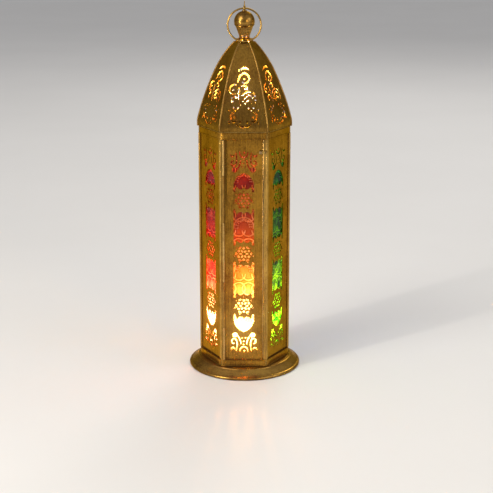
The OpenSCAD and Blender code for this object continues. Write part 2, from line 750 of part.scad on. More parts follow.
module eye_nut() {
    color(TIN) difference() {
        translate([0, 0, nut_z1 - nut_t]) cylinder(r = nut_r, h = nut_t, $fn = 6);
        translate([0, 0, nut_z1 - nut_t - overrun])
            cylinder(r = stem_r + running_gap / 5, h = nut_t + 2 * overrun);
    }
}

module hanging_ring() {
    color(BRASS) translate([0, 0, eye_z]) rotate([90 - ring_lean, 0, 0]) translate([0, -ring_r, 0])
        rotate_extrude() translate([ring_r, 0]) circle(wire_r);
}

module candle_holder() {
    color(DARK_BRASS) translate([0, 0, floor_z]) rotate_extrude() polygon([
        [0, 0], [holder_in + holder_t, 0], [holder_in + holder_t, holder_h],
        [holder_in, holder_h], [holder_in, holder_t], [0, holder_t]
    ]);
}

module tealight_cup() {
    color(TIN) translate([0, 0, candle_z]) rotate_extrude() polygon([
        [0, 0], [tealight_r, 0], [tealight_r, tealight_h], [tealight_r - cup_t, tealight_h],
        [tealight_r - cup_t, cup_t], [0, cup_t]
    ]);
}

module tealight_wax() {
    color(WAX) translate([0, 0, candle_z + cup_t]) difference() {
        cylinder(r = tealight_r - cup_t - running_gap, h = tealight_h - cup_t - wax_drop);
        translate([0, 0, -overrun]) cylinder(r = wick_r + running_gap, h = tealight_h);
    }
}

module tealight_wick() {
    color("#3a342c") translate([0, 0, candle_z + cup_t])
        cylinder(r = wick_r, h = tealight_h - cup_t - wax_drop + wick_h);
}

base_tray();
floor_plate();
bottom_frame();
top_frame();
for (k = [0:5]) corner_post(k);
for (k = [1:5]) side_panel(k);
for (k = [0:5]) pane(k);
clips_body();
clips_door();
door_panel();
hinge_frame_leaf();
hinge_door_leaf();
hinge_pin();
latch_hook();
latch_rivet();
latch_peg();
for (k = [0:5]) roof_petal(k);
for (k = [0:5]) roof_rib(k);
roof_collar();
finial_neck();
finial_dome();
finial_eye();
eye_nut();
hanging_ring();
candle_holder();
tealight_cup();
tealight_wax();
tealight_wick();
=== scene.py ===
import math

import bmesh
import bpy
import numpy as np
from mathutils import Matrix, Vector


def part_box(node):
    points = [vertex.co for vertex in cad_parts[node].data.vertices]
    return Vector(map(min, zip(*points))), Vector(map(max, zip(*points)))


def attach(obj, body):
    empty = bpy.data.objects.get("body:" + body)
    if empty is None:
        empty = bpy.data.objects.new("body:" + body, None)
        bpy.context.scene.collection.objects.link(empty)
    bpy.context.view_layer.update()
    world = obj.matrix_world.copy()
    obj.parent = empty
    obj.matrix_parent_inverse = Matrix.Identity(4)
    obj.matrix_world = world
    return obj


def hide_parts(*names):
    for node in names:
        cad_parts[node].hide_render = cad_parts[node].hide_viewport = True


# Pierced brass lantern with coloured glass and a lit tea light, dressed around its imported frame
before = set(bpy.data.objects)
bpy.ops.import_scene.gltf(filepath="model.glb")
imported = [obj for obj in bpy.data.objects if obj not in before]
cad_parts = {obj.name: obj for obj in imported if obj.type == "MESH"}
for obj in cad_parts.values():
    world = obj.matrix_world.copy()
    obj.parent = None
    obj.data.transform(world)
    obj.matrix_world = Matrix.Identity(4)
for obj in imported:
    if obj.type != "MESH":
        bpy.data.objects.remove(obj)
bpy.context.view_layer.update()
mm = 0.001
FACES = ["front", "right", "back_right", "back", "back_left", "left"]

# Sizes that the frame's nodes give, in millimetres
foot_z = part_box("bottom_frame")[0].z / mm
head_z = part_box("top_frame")[1].z / mm
band_h = (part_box("bottom_frame")[1].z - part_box("bottom_frame")[0].z) / mm
band_out = -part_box("bottom_frame")[0].y / mm
base_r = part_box("base_tray")[1].x / mm
collar_z0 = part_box("roof_collar")[0].z / mm
collar_z1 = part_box("roof_collar")[1].z / mm
neck_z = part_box("finial_neck")[0].z / mm
dome_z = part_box("finial_dome")[0].z / mm
dome_top_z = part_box("finial_dome")[1].z / mm
cup_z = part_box("tealight_cup")[0].z / mm
cup_top_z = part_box("tealight_cup")[1].z / mm
wax_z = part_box("tealight_wax")[1].z / mm
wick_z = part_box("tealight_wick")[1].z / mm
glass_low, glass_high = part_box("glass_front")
glass_in, glass_out = -glass_high.y / mm, -glass_low.y / mm
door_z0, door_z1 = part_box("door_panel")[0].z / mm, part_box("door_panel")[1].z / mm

# Sizes that follow the part's own named values, in millimetres
panel_apothem, post_apothem, roof_apothem = 40.8, 41.5, 42.5
band_t, flange_w, skirt_h, rib_w = 0.9, 9.5, 3.8, 1.8
neck_r, neck_h, flare_r, finial_t = 5.5, 3.0, 9.6, 0.8
vents, vent_w, vent_h, vent_rise = 8, 1.6, 2.4, 0.9
dome_r, ring_r, wire_r, ring_lean = 10.6, 17.0, 0.9, math.radians(17)
eye_r, eye_t, eye_foot_t, eye_sink = 2.3, 2.4, 0.8, 0.4
eye_z = dome_top_z + eye_foot_t + eye_r - eye_sink
pin_r, knuckle_r, knuckle_gap, leaf_gap = 0.6, 1.15, 0.2, 0.125
leaf_t, leaf_rise, edge_bead_r = 0.7, 0.15, 0.7
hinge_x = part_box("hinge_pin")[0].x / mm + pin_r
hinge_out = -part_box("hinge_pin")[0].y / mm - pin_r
# Where the five knuckles meet, as shares of the door's height
KNUCKLE_SHARES = [0, 0.153, 0.364, 0.634, 0.845, 1]
# Radius, and turn in degrees, of each arc that the roof's sheet follows above its skirt
ROOF_ARCS = [(26, 13), (322, 9), (110, 19)]

# Sizes of the details that are made here, in millimetres
hem_r, band_corner_r = 0.5, 0.6
flutes, flute_depth = 16, 0.5
flame_z0, flame_z1 = wick_z - 3.2, wick_z + 19.0
cos30 = math.cos(math.radians(30))

# Points closer than this are one point, and edges that turn by more than this many degrees stay crisp
merge_gap, sharp_deg = 0.002, 38


# Meshes

def added(name, data):
    """Object that holds a mesh, a lamp or a camera, put in the scene."""
    made = bpy.data.objects.new(name, data)
    bpy.context.scene.collection.objects.link(made)
    return made


def mended(mesh):
    """Merges a mesh's double points, and turns it outwards by the sign of the volume it holds."""
    work = bmesh.new()
    work.from_mesh(mesh)
    bmesh.ops.remove_doubles(work, verts=work.verts, dist=merge_gap * mm)
    if work.calc_volume(signed=True) < 0:
        bmesh.ops.reverse_faces(work, faces=work.faces)
    work.to_mesh(mesh)
    work.free()


def finished(name, mesh, sharp):
    """Piece from a mesh, mended, and smooth but for edges above the sharp angle."""
    mended(mesh)
    mesh.shade_smooth()
    mesh.set_sharp_from_angle(angle=math.radians(sharp))
    return added(name, mesh)


def surface(name, points, closed_rows=True, closed_columns=True, caps=False, sharp=sharp_deg):
    """Skin over a grid of points in millimetres, shape (rows, columns, 3).

    Each face joins two neighbours of one row to the same two of the next. Closed rows and columns
    wrap round to the first, and caps close the first and last row with flat ends. Points that meet,
    as at a pole, are merged.
    """
    rows, columns = points.shape[:2]
    i = np.arange(rows if closed_rows else rows - 1)[:, None]
    j = np.arange(columns if closed_columns else columns - 1)[None]
    next_i, next_j = (i + 1) % rows, (j + 1) % columns
    corners = [i * columns + j, i * columns + next_j, next_i * columns + next_j, next_i * columns + j]
    faces = np.stack([c.ravel() for c in corners], 1).tolist()
    if caps:
        faces += [list(range(columns))[::-1], list(range((rows - 1) * columns, rows * columns))]
    mesh = bpy.data.meshes.new(name)
    mesh.from_pydata((points.reshape(-1, 3) * mm).tolist(), [], faces)
    return finished(name, mesh, sharp)


def softened(corners, cut, steps=4, closed=True):
    """Outline with rounded corners.

    Each corner becomes a quadratic curve from a cut before it to a cut after it, a cut being at most
    0.45 of the shorter side. An open outline keeps its two end points.
    """
    p = np.array(corners, float)
    back, ahead = np.roll(p, 1, 0) - p, np.roll(p, -1, 0) - p
    back_len = np.linalg.norm(back, axis=1, keepdims=True)
    ahead_len = np.linalg.norm(ahead, axis=1, keepdims=True)
    reach = np.minimum(cut, 0.45 * np.minimum(back_len, ahead_len))
    a, b = (p + back / back_len * reach)[:, None], (p + ahead / ahead_len * reach)[:, None]
    t = np.linspace(0, 1, steps + 1)[None, :, None]
    curve = (1 - t) ** 2 * a + 2 * t * (1 - t) * p[:, None] + t ** 2 * b
    if not closed:
        curve[0], curve[-1] = p[0], p[-1]
    return curve.reshape(-1, 2)


def arc(middle, r, a0, a1, steps):
    """Points of an arc round a middle from angle a0 to angle a1, in degrees."""
    a = np.radians(np.linspace(a0, a1, steps + 1))
    return np.stack([middle[0] + r * np.cos(a), middle[1] + r * np.sin(a)], 1)


def lathe(name, profile, closed=True, swell=None, rows=180, sharp=sharp_deg):
    """Profile of (radius, height) turned round the axis: x is r cos t and y is r sin t.

    swell(t, r, z), where given, is added to the radius.
    """
    t = np.linspace(0, 2 * np.pi, rows, endpoint=False)[:, None]
    r, z = profile[:, 0][None] + 0 * t, profile[:, 1][None] + 0 * t
    r = r + (swell(t, r, z) if swell else 0)
    return surface(name, np.stack([r * np.cos(t), r * np.sin(t), z], 2), closed_columns=closed, sharp=sharp)


def hexagon_loop(name, profile, steps=5):
    """Closed profile of (apothem, height) carried round a hexagon with round corners.

    At corner k the heading swings by 60 degrees about a centre that lies c, the corner's radius, inside
    the profile's smallest apothem, so every layer keeps flat faces: point = centre + (a - smallest + c)
    heading.
    """
    least = profile[:, 0].min()
    corner = np.radians(-60 + 60 * np.arange(6))[:, None]
    heading = (corner + np.radians(np.linspace(-30, 30, steps + 1))[None]).ravel()[:, None]
    corner = np.repeat(corner.ravel(), steps + 1)[:, None]
    centre = (least - band_corner_r) / cos30
    reach = profile[:, 0][None] - least + band_corner_r
    x = centre * np.cos(corner) + reach * np.cos(heading)
    y = centre * np.sin(corner) + reach * np.sin(heading)
    return surface(name, np.stack([x, y, profile[:, 1][None] + 0 * x], 2))


def tube(name, path, radius, sides=14, sharp=50):
    """Upright round bar along a path of points, with a radius at each: its rings stand across the path.

    A ring's first axis is the path's direction crossed with a fixed, nearly level helper, and its second
    is across both.
    """
    run = np.gradient(path, axis=0)
    run /= np.linalg.norm(run, axis=1, keepdims=True)
    helper = np.array([0.9, 0.4, 0.1])
    first = np.cross(run, helper)
    first /= np.linalg.norm(first, axis=1, keepdims=True)
    second = np.cross(run, first)
    a = np.linspace(0, 2 * np.pi, sides, endpoint=False)[None, :, None]
    r = radius[:, None, None]
    points = path[:, None] + r * (np.cos(a) * first[:, None] + np.sin(a) * second[:, None])
    return surface(name, points, closed_rows=False, caps=True, sharp=sharp)


def roof_path(samples=40):
    """Apothem, height and heading from upright along the roof's skirt and its three arcs.

    On an arc of radius r the sheet moves by r times the change of (cosine, sine) of its heading.
    """
    rows = [np.array([[roof_apothem, head_z, 0.0], [roof_apothem, head_z + skirt_h, 0.0]])]
    for r, turn in ROOF_ARCS:
        a, z, h = rows[-1][-1]
        heading = h + np.radians(turn) * np.linspace(0, 1, samples + 1)[1:]
        rows.append(np.stack([
            a + r * (np.cos(heading) - math.cos(h)), z + r * (np.sin(heading) - math.sin(h)), heading
        ], 1))
    return np.concatenate(rows)


# Materials

# Grime in the corners of the brass, and the warm tint of its grazing reflections
GRIME = (0.03, 0.018, 0.009, 1)
WARM_EDGE = (1.0, 0.72, 0.38, 1)


def node(tree, kind, inputs=None, **settings):
    """Adds a shader node. Its inputs are values or other nodes' sockets, by name or number."""
    made = tree.nodes.new("ShaderNode" + kind)
    for name, value in settings.items():
        setattr(made, name, value)
    for key, value in (inputs or {}).items():
        if isinstance(value, bpy.types.NodeSocket):
            tree.links.new(value, made.inputs[key])
        else:
            made.inputs[key].default_value = value
    return made


def material(name):
    """Empty material: itself, its node tree and the socket for its surface."""
    made = bpy.data.materials.new(name)
    made.use_nodes = True
    tree = made.node_tree
    tree.nodes.clear()
    return made, tree, node(tree, "OutputMaterial").inputs["Surface"]


def shaded(tree, surface_in, inputs):
    """Gives a material its main shader."""
    tree.links.new(node(tree, "BsdfPrincipled", inputs).outputs[0], surface_in)


def object_place(tree, scale=(1, 1, 1)):
    """The point on the piece, in metres, stretched by scale."""
    spot = node(tree, "TexCoord").outputs["Object"]
    return node(tree, "Mapping", {"Vector": spot, "Scale": scale}).outputs[0]


def axis_of(tree, spot, axis):
    """One coordinate of a point: 0 is x, 1 is y and 2 is z."""
    return node(tree, "SeparateXYZ", {0: spot}).outputs[axis]


def noise(tree, spot, scale, detail, rough=0.55):
    """Cloudy noise from 0 to 1 with features of about 1 / scale metres."""
    return node(tree, "TexNoise", {
        "Vector": spot, "Scale": scale, "Detail": detail, "Roughness": rough
    }).outputs[0]


def span(tree, value, low, high, to_low=0.0, to_high=1.0):
    """Carries a value from one range to another, held at both ends."""
    return node(tree, "MapRange", {
        "Value": value, "From Min": low, "From Max": high, "To Min": to_low, "To Max": to_high
    }).outputs[0]


def mixed(tree, share, a, b, mode="MIX"):
    """Colour a turned into colour b by a share."""
    return node(tree, "Mix", {0: share, 6: a, 7: b}, data_type="RGBA", blend_type=mode).outputs[2]


def maths(tree, operation, a, b):
    """One step of arithmetic on two values."""
    return node(tree, "Math", {0: a, 1: b}, operation=operation).outputs[0]


def weighted(tree, *parts):
    """Sum of values, each times its weight."""
    terms = [maths(tree, "MULTIPLY", value, weight) for value, weight in parts]
    total = terms[0]
    for term in terms[1:]:
        total = maths(tree, "ADD", total, term)
    return total


def bumped(tree, height, distance, strength=1.0, under=None):
    """Normal of a surface raised by height times distance, over another bump where one is given."""
    inputs = {"Height": height, "Distance": distance, "Strength": strength}
    if under:
        inputs["Normal"] = under
    return node(tree, "Bump", inputs).outputs[0]


def grimed(tree, colour, reach, inner, outer, dirt):
    """Colour with grime in its corners: a share of dirt where a corner is tight, none where it opens."""
    corner = node(tree, "AmbientOcclusion", {"Distance": reach * mm}, samples=4).outputs["AO"]
    return mixed(tree, span(tree, corner, inner, outer, dirt, 0.0), colour, GRIME)


def brass(name, bright, dark, grain, polish, dirt=0.75):
    """Hand-worked brass: bright metal under a brown patina that lies thick in corners.

    The patina's share is large clouds plus millimetre mottling plus fine scratches along the grain;
    roughness follows the same clouds, and slow waves of the sheet bend its reflections.
    """
    made, tree, surface_in = material(name)
    spot = object_place(tree)
    clouds = noise(tree, spot, 42.0, 5.0, 0.6)
    mottling = noise(tree, spot, 520.0, 3.0)
    scratches = noise(tree, object_place(tree, grain), 1.0, 3.0, 0.65)
    fresh = span(tree, weighted(tree, (clouds, 0.42), (mottling, 0.28), (scratches, 0.3)), 0.33, 0.6)
    colour = grimed(tree, mixed(tree, fresh, (*dark, 1), (*bright, 1)), 3.5, 0.25, 0.85, dirt)
    dulled = maths(tree, "ADD", maths(tree, "MULTIPLY", fresh, -0.6), scratches)
    waves = bumped(tree, noise(tree, spot, 16.0, 1.0), 1.2 * mm, 0.25)
    relief = maths(tree, "ADD", scratches, maths(tree, "MULTIPLY", mottling, 0.7))
    shaded(tree, surface_in, {
        "Base Color": colour, "Metallic": 1.0, "Roughness": span(tree, dulled, -0.4, 0.8, *polish),
        "Normal": bumped(tree, relief, 0.02 * mm, 0.8, waves), "Specular Tint": WARM_EDGE
    })
    return made


def spun_brass(name, bright, dark):
    """Brass turned on a lathe: patina and scratches run in rings, from noise over (radius, height)."""
    made, tree, surface_in = material(name)
    spot = object_place(tree)
    parts = node(tree, "SeparateXYZ", {0: spot})
    flat = node(tree, "CombineXYZ", {0: parts.outputs[0], 1: parts.outputs[1]})
    radius = node(tree, "VectorMath", {0: flat.outputs[0]}, operation="LENGTH").outputs["Value"]
    ring_place = node(tree, "CombineXYZ", {0: radius, 1: parts.outputs[2]}).outputs[0]
    rings = noise(tree, ring_place, 2600.0, 3.0, 0.7)
    wide_rings = noise(tree, ring_place, 520.0, 2.0)
    clouds = noise(tree, spot, 55.0, 5.0, 0.6)
    mottling = noise(tree, spot, 640.0, 3.0)
    fresh = span(tree, weighted(tree, (clouds, 0.6), (wide_rings, 0.2), (mottling, 0.2)), 0.4, 0.6)
    colour = grimed(tree, mixed(tree, fresh, (*dark, 1), (*bright, 1)), 5, 0.3, 0.9, 0.7)
    shaded(tree, surface_in, {
        "Base Color": colour, "Metallic": 1.0, "Specular Tint": WARM_EDGE,
        "Roughness": span(tree, maths(tree, "ADD", fresh, rings), 0.5, 1.4, 0.4, 0.24),
        "Normal": bumped(tree, maths(tree, "ADD", rings, wide_rings), 0.03 * mm, 0.8)
    })
    return made


def plain_metal(name, colour, worn, polish):
    """Small metal parts: one metal with mottled wear and roughness."""
    made, tree, surface_in = material(name)
    spot = object_place(tree)
    mottling = noise(tree, spot, 900.0, 4.0)
    shaded(tree, surface_in, {
        "Base Color": mixed(tree, span(tree, mottling, 0.42, 0.62), (*worn, 1), (*colour, 1)),
        "Metallic": 1.0, "Roughness": span(tree, mottling, 0.3, 0.7, *polish),
        "Normal": bumped(tree, mottling, 0.03 * mm, 0.5)
    })
    return made


# Heights on a pane in millimetres: where its tints follow each other, pale near the flame and deep above as
# painted light and shade, and where the painted shadow of the candle's cup at its foot ends
foot_tint_z, middle_tint_z, head_tint_z = 58, 100, 185
cup_shadow_z0, cup_shadow_z1 = 24, 34
# Across a pane: where the side tint is strongest, and where it ends
side_tint_x0, side_tint_x1 = -9, 6
milky_share = 0.6


def pressed_glass(name, tints, blotch, side_tint=None):
    """Coloured pressed glass, part clear and part milky, that lamps shine through.

    tints are three pairs of a deep and a pale tint, for the pane's foot, middle and head. The hue is the
    glass's own, but the grading from pale at the foot to deep at the head is painted light near the flame
    and painted shade above it. The marks "crest" and "foot" paint a highlight on the pressed lines' crests
    and shade beside them, for the bright and dark bands of their refraction, and "boss" says where the glass
    is clear. Low on the pane the colour darkens to the middle's deep tint, a painted shadow of the candle's
    cup.
    Clouds of uneven thickness, blotch strong, and speckles are added. side_tint deepens the colour towards
    the left edge.
    """
    made, tree, surface_in = material(name)
    spot = object_place(tree)
    crest = node(tree, "Attribute", attribute_name="crest").outputs["Fac"]
    foot = node(tree, "Attribute", attribute_name="foot").outputs["Fac"]
    boss = node(tree, "Attribute", attribute_name="boss").outputs["Fac"]
    uneven = noise(tree, spot, 120.0, 4.0, 0.6)
    speckle = noise(tree, spot, 1100.0, 2.0)
    light = span(tree, uneven, 0.34, 0.66, 0.38 - 0.5 * blotch, 0.38 + 0.5 * blotch)
    # Painted highlight on the pressed lines' crests and painted shade at their feet, for the bands of their
    # refraction
    light = maths(tree, "ADD", light, maths(tree, "MULTIPLY", crest, 0.25))
    light = maths(tree, "SUBTRACT", light, maths(tree, "MULTIPLY", foot, 0.5))
    light = maths(tree, "ADD", light, span(tree, speckle, 0.35, 0.7, -0.12, 0.12))
    # The tints by height paint light and shade: pale at the foot near the flame, deep at the head where the
    # candle's light falls off
    height = axis_of(tree, spot, 2)
    low = span(tree, height, foot_tint_z * mm, middle_tint_z * mm)
    high = span(tree, height, middle_tint_z * mm, head_tint_z * mm)
    deep, pale = [
        mixed(tree, high, mixed(tree, low, (*foot_tint, 1), (*middle_tint, 1)), (*head_tint, 1))
        for foot_tint, middle_tint, head_tint in zip(*tints)
    ]
    colour = mixed(tree, light, deep, pale)
    clearer = mixed(tree, maths(tree, "MULTIPLY", high, 0.4), (*tints[0][1], 1), (*tints[1][1], 1))
    # Bosses take a pale tint as clear glass; on the crests the same pale tint is a painted highlight
    on_boss, on_crest = maths(tree, "MULTIPLY", boss, 0.95), maths(tree, "MULTIPLY", crest, 0.8)
    colour = mixed(tree, maths(tree, "MAXIMUM", on_boss, on_crest), colour, clearer)
    # Painted shadow of the candle's cup: low on the pane the colour darkens to the middle's deep tint
    cup_shadow = span(tree, height, cup_shadow_z1 * mm, cup_shadow_z0 * mm, 0.0, 0.85)
    colour = mixed(tree, cup_shadow, colour, (*tints[1][0], 1))
    if side_tint:
        sideways = span(tree, axis_of(tree, spot, 0), side_tint_x1 * mm, side_tint_x0 * mm, 0.0, 0.5)
        colour = mixed(tree, maths(tree, "MULTIPLY", sideways, low), colour, (*side_tint, 1), "MULTIPLY")
    relief = maths(tree, "ADD", uneven, maths(tree, "MULTIPLY", speckle, 0.12))
    normal = bumped(tree, relief, 0.3 * mm, 0.7)
    clear = node(tree, "BsdfPrincipled", {
        "Base Color": colour, "Roughness": 0.09, "IOR": 1.5, "Specular IOR Level": 0.25,
        "Transmission Weight": 1.0, "Normal": normal
    })
    milky = node(tree, "BsdfTranslucent", {"Color": colour, "Normal": normal})
    both = node(tree, "MixShader", {0: milky_share, 1: clear.outputs[0], 2: milky.outputs[0]})
    for_lamps = node(tree, "BsdfTransparent", {"Color": colour})
    lamp_ray = node(tree, "LightPath").outputs["Is Shadow Ray"]
    shown = node(tree, "MixShader", {0: lamp_ray, 1: both.outputs[0], 2: for_lamps.outputs[0]})
    tree.links.new(shown.outputs[0], surface_in)
    return made


def wax_material():
    """Melted wax: soft and glossy, its light scattered under the surface."""
    made, tree, surface_in = material("candle wax")
    cloud = noise(tree, object_place(tree), 160.0, 3.0)
    shaded(tree, surface_in, {
        "Base Color": mixed(tree, cloud, (0.86, 0.76, 0.58, 1), (0.93, 0.87, 0.74, 1)),
        "Roughness": 0.28, "Subsurface Weight": 0.6, "Subsurface Scale": 3 * mm,
        "Subsurface Radius": (1.0, 0.55, 0.3), "Normal": bumped(tree, cloud, 0.15 * mm, 0.5)
    })
    return made


def wick_material():
    """Charred cotton whose tip glows: the glow sets in over the last two millimetres."""
    made, tree, surface_in = material("charred wick")
    fibre = noise(tree, object_place(tree, (1, 1, 0.3)), 3000.0, 3.0)
    height = axis_of(tree, object_place(tree), 2)
    shaded(tree, surface_in, {
        "Base Color": mixed(tree, fibre, (0.01, 0.009, 0.008, 1), (0.07, 0.06, 0.05, 1)),
        "Roughness": 0.9, "Normal": bumped(tree, fibre, 0.1 * mm),
        "Emission Color": (1.0, 0.22, 0.03, 1),
        "Emission Strength": span(tree, height, (wick_z - 2) * mm, wick_z * mm, 0.0, 6.0)
    })
    return made


def flame_material():
    """Candle flame: blue and thin at the wick, white-gold in its body, orange and thin at its edge."""
    made, tree, surface_in = material("candle flame")
    rise = span(tree, axis_of(tree, object_place(tree), 2), flame_z0 * mm, flame_z1 * mm)
    ramp = node(tree, "ValToRGB", {0: rise})
    stops = [
        (0.0, (0.08, 0.16, 1.0, 1)), (0.16, (1.0, 0.46, 0.1, 1)), (0.4, (1.0, 0.76, 0.36, 1)),
        (0.75, (1.0, 0.6, 0.18, 1)), (1.0, (1.0, 0.32, 0.05, 1))
    ]
    for share, colour in stops[2:]:
        ramp.color_ramp.elements.new(share)
    for element, (share, colour) in zip(ramp.color_ramp.elements, stops):
        element.position = share
        element.color = colour
    glow = node(tree, "Emission", {"Color": ramp.outputs[0], "Strength": 90.0})
    gone = node(tree, "BsdfTransparent")
    facing = node(tree, "LayerWeight", {0: 0.35}).outputs["Facing"]
    thin = maths(tree, "MAXIMUM", facing, span(tree, rise, 0.0, 0.25, 0.85, 0.0))
    shown = node(tree, "MixShader", {0: thin, 1: glow.outputs[0], 2: gone.outputs[0]})
    tree.links.new(shown.outputs[0], surface_in)
    return made


def floor_material():
    """Plain pale floor with the faintest unevenness of tone."""
    made, tree, surface_in = material("pale floor")
    tone = noise(tree, object_place(tree), 3.0, 3.0)
    shaded(tree, surface_in, {
        "Base Color": mixed(tree, tone, (0.7, 0.68, 0.65, 1), (0.76, 0.74, 0.71, 1)), "Roughness": 0.6
    })
    return made


# Placing

def place(piece, body, slot, finish, *nodes):
    """Gives a piece its finish and its body, and hides the nodes that it stands for. Its slot is not used.
    """
    piece.data.materials.clear()
    piece.data.materials.append(finish)
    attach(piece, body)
    if nodes:
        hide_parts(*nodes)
    return piece


def dress(finish, *nodes):
    """Gives CAD nodes that are shown as they are a finish."""
    for name in nodes:
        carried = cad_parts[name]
        if not carried.material_slots:
            carried.data.materials.append(finish)
        for held in carried.material_slots:
            held.material = finish


# Brass work of the body

def spun_base():
    """Base spun from one sheet: a flat top with a groove, a sloping skirt with a raised bead, a rolled rim.

    The top's corners are softened, and the rim is an arc whose underside is worn flat at z = 0.
    """
    roll, worn, press, sheet_t = 1.8, 0.2, 0.3, 0.8
    roll_x, roll_z = base_r - roll, roll - worn
    flat_r = band_out / cos30 + 0.5
    slope = np.array([[flat_r, foot_z], [roll_x - 0.6, roll_z + roll + 0.35]])
    bead = [slope[0] + (slope[1] - slope[0]) * share for share in (0.06, 0.1, 0.14, 0.18)]
    top = softened([
        [0, foot_z], [flat_r - 2.4, foot_z], [flat_r - 1.9, foot_z - press], [flat_r - 0.9, foot_z - press],
        [flat_r - 0.5, foot_z], bead[0], bead[1] + [0, press], bead[2] + [0, press], bead[3], slope[1],
        [roll_x, roll_z + roll]
    ], 0.5, closed=False)
    rim = arc((roll_x, roll_z), roll, 85, -225, 40)
    rim[:, 1] = np.maximum(rim[:, 1], 0)
    under_z = foot_z - sheet_t
    under = np.array([[roll_x - 1.4, roll_z + 0.95], [flat_r - 0.4, under_z], [0, under_z]])
    return lathe("spun_base", np.concatenate([top, rim, under]), closed=False, rows=240)


def hemmed_band(name, z0, z1, flange_z):
    """Six-sided band: a round hem along both edges, and a flange inside at its foot or its head."""
    lip = band_out - 0.05
    low = arc((lip, z0 + hem_r), hem_r, -90, 80, 6)
    high = arc((lip, z1 - hem_r), hem_r, -80, 90, 6)
    inner = band_out - band_t
    reach = band_out - flange_w
    if flange_z == z0:
        rest = [[inner, z1], [inner, z0 + band_t], [reach, z0 + band_t], [reach, z0]]
    else:
        rest = [[reach, z1], [reach, z1 - band_t], [inner, z1 - band_t], [inner, z0]]
    return hexagon_loop(name, np.concatenate([low, high, rest]))


def roof_hem():
    """Rolled hem round the foot of the petals' skirt: a circle carried round the roof's hexagon."""
    return hexagon_loop("roof_hem", arc((roof_apothem + 0.05, head_z + 0.62), hem_r, 0, 330, 11))


def bent_petal(name, source, k):
    """Copy of a petal's solid, shaded as the true curve.

    A corner of a skin face at height z takes the normal of the arc there: the heading h of the roof's
    path at z gives (outwards of face k) cos h plus (up) sin h, or its opposite on the inner skin. A face
    belongs to a skin where the cosine between the two normals is over on_skin.
    """
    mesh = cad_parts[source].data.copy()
    mended(mesh)
    corners = np.zeros(len(mesh.loops), np.int32)
    mesh.loops.foreach_get("vertex_index", corners)
    heights = np.zeros(len(mesh.vertices) * 3)
    mesh.vertices.foreach_get("co", heights)
    heights = heights.reshape(-1, 3)[corners, 2] / mm
    counts = np.zeros(len(mesh.polygons), np.int32)
    mesh.polygons.foreach_get("loop_total", counts)
    flat = np.zeros(len(mesh.polygons) * 3)
    mesh.polygons.foreach_get("normal", flat)
    flat = np.repeat(flat.reshape(-1, 3), counts, 0)
    path = roof_path()
    heading = np.interp(heights, path[:, 1], path[:, 2])
    out = math.radians(60 * k - 90)
    level = np.cos(heading)
    curved = np.stack([level * math.cos(out), level * math.sin(out), np.sin(heading)], 1)
    match = (curved * flat).sum(1)[:, None]
    on_skin = 0.985
    normals = np.where(match > on_skin, curved, flat)
    normals = np.where(match < -on_skin, -curved, normals)
    mesh.shade_smooth()
    mesh.normals_split_custom_set(normals.tolist())
    return added(name, mesh)


def folded_rib(name, k):
    """Rib folded over the seam between two petals: a rounded strip carried up the corner's path.

    The path is the roof's with its apothem over the cosine of 30 degrees, sunk a little. The strip's
    outline is a half ellipse on a flat foot, its height along the path's normal and its width across it.
    """
    rib_h, spread, sink = 0.85, 1.05, 0.25
    path = roof_path()
    path = path[path[:, 1] < collar_z0 + 0.3]
    outline = np.concatenate([arc((0, 0), 1, 0, 180, 10), [[-1.0, -0.7], [1.0, -0.7]]])
    across = (outline[:, 0] * rib_w / 2 * spread)[None]
    proud = (outline[:, 1] * rib_h)[None]
    reach = path[:, 0:1] / cos30 - sink + proud * np.cos(path[:, 2:3])
    height = path[:, 1:2] + proud * np.sin(path[:, 2:3])
    a = math.radians(60 * k - 60)
    x = reach * math.cos(a) - across * math.sin(a)
    y = reach * math.sin(a) + across * math.cos(a)
    return surface(name, np.stack([x, y, height + 0 * x], 2), closed_rows=False, caps=True)


# Hinge

def upright_bar(name, outline, z0, z1):
    """Upright bar of an outline of (x, y), drawn in at both ends so that their edges catch the light."""
    edge, end_share = 0.08, 0.93
    heights = np.array([z0, z0 + edge, z1 - edge, z1])[:, None]
    middle = outline.mean(0)
    draw = np.array([end_share, 1.0, 1.0, end_share])[:, None]
    x = middle[0] + draw * (outline[:, 0] - middle[0])[None]
    y = middle[1] + draw * (outline[:, 1] - middle[1])[None]
    return surface(name, np.stack([x, y, heights + 0 * x], 2), closed_rows=False, caps=True)


def rolled_knuckle(i, side, back):
    """Knuckle i from the foot: a strip that leaves its leaf at y = -back and rolls round the pin.

    The outline is three quarters of a circle of the knuckle's radius, from the strip's outer face
    round the front to its inner face, and the strip's two straight faces.
    """
    z0 = door_z0 + (door_z1 - door_z0) * KNUCKLE_SHARES[i] + knuckle_gap / 2
    z1 = door_z0 + (door_z1 - door_z0) * KNUCKLE_SHARES[i + 1] - knuckle_gap / 2
    turn = np.radians(np.linspace(0, -360 + math.degrees(math.acos(leaf_gap / knuckle_r)), 33))
    roll = knuckle_r * np.stack([np.cos(turn), np.sin(turn)], 1)
    reach = hinge_out - back
    outline = np.concatenate([[[knuckle_r, reach]], roll, [[leaf_gap, reach]]])
    return upright_bar(f"rolled_knuckle_{i + 1}", outline * [side, 1] + [hinge_x, -hinge_out], z0, z1)


def hinge_plate():
    """Hinge's leaf, flat on the door: an upright bar with soft edges."""
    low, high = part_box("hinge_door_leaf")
    x0, x1 = hinge_x + leaf_gap, high.x / mm
    y0 = -(hinge_out - knuckle_r - leaf_rise)
    y1 = y0 + leaf_t
    outline = softened([[x0, y0], [x1, y0], [x1, y1], [x0, y1]], 0.2)
    return upright_bar("hinge_plate", outline, low.z / mm, high.z / mm)


def door_bead():
    """Bead along the door's free edge: an upright round bar over the solid's own bead."""
    cover = 0.02
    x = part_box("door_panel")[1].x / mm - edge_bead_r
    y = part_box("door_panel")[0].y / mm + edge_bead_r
    return upright_bar("door_bead", arc((x, y), edge_bead_r + cover, 0, 345, 23), door_z0, door_z1)


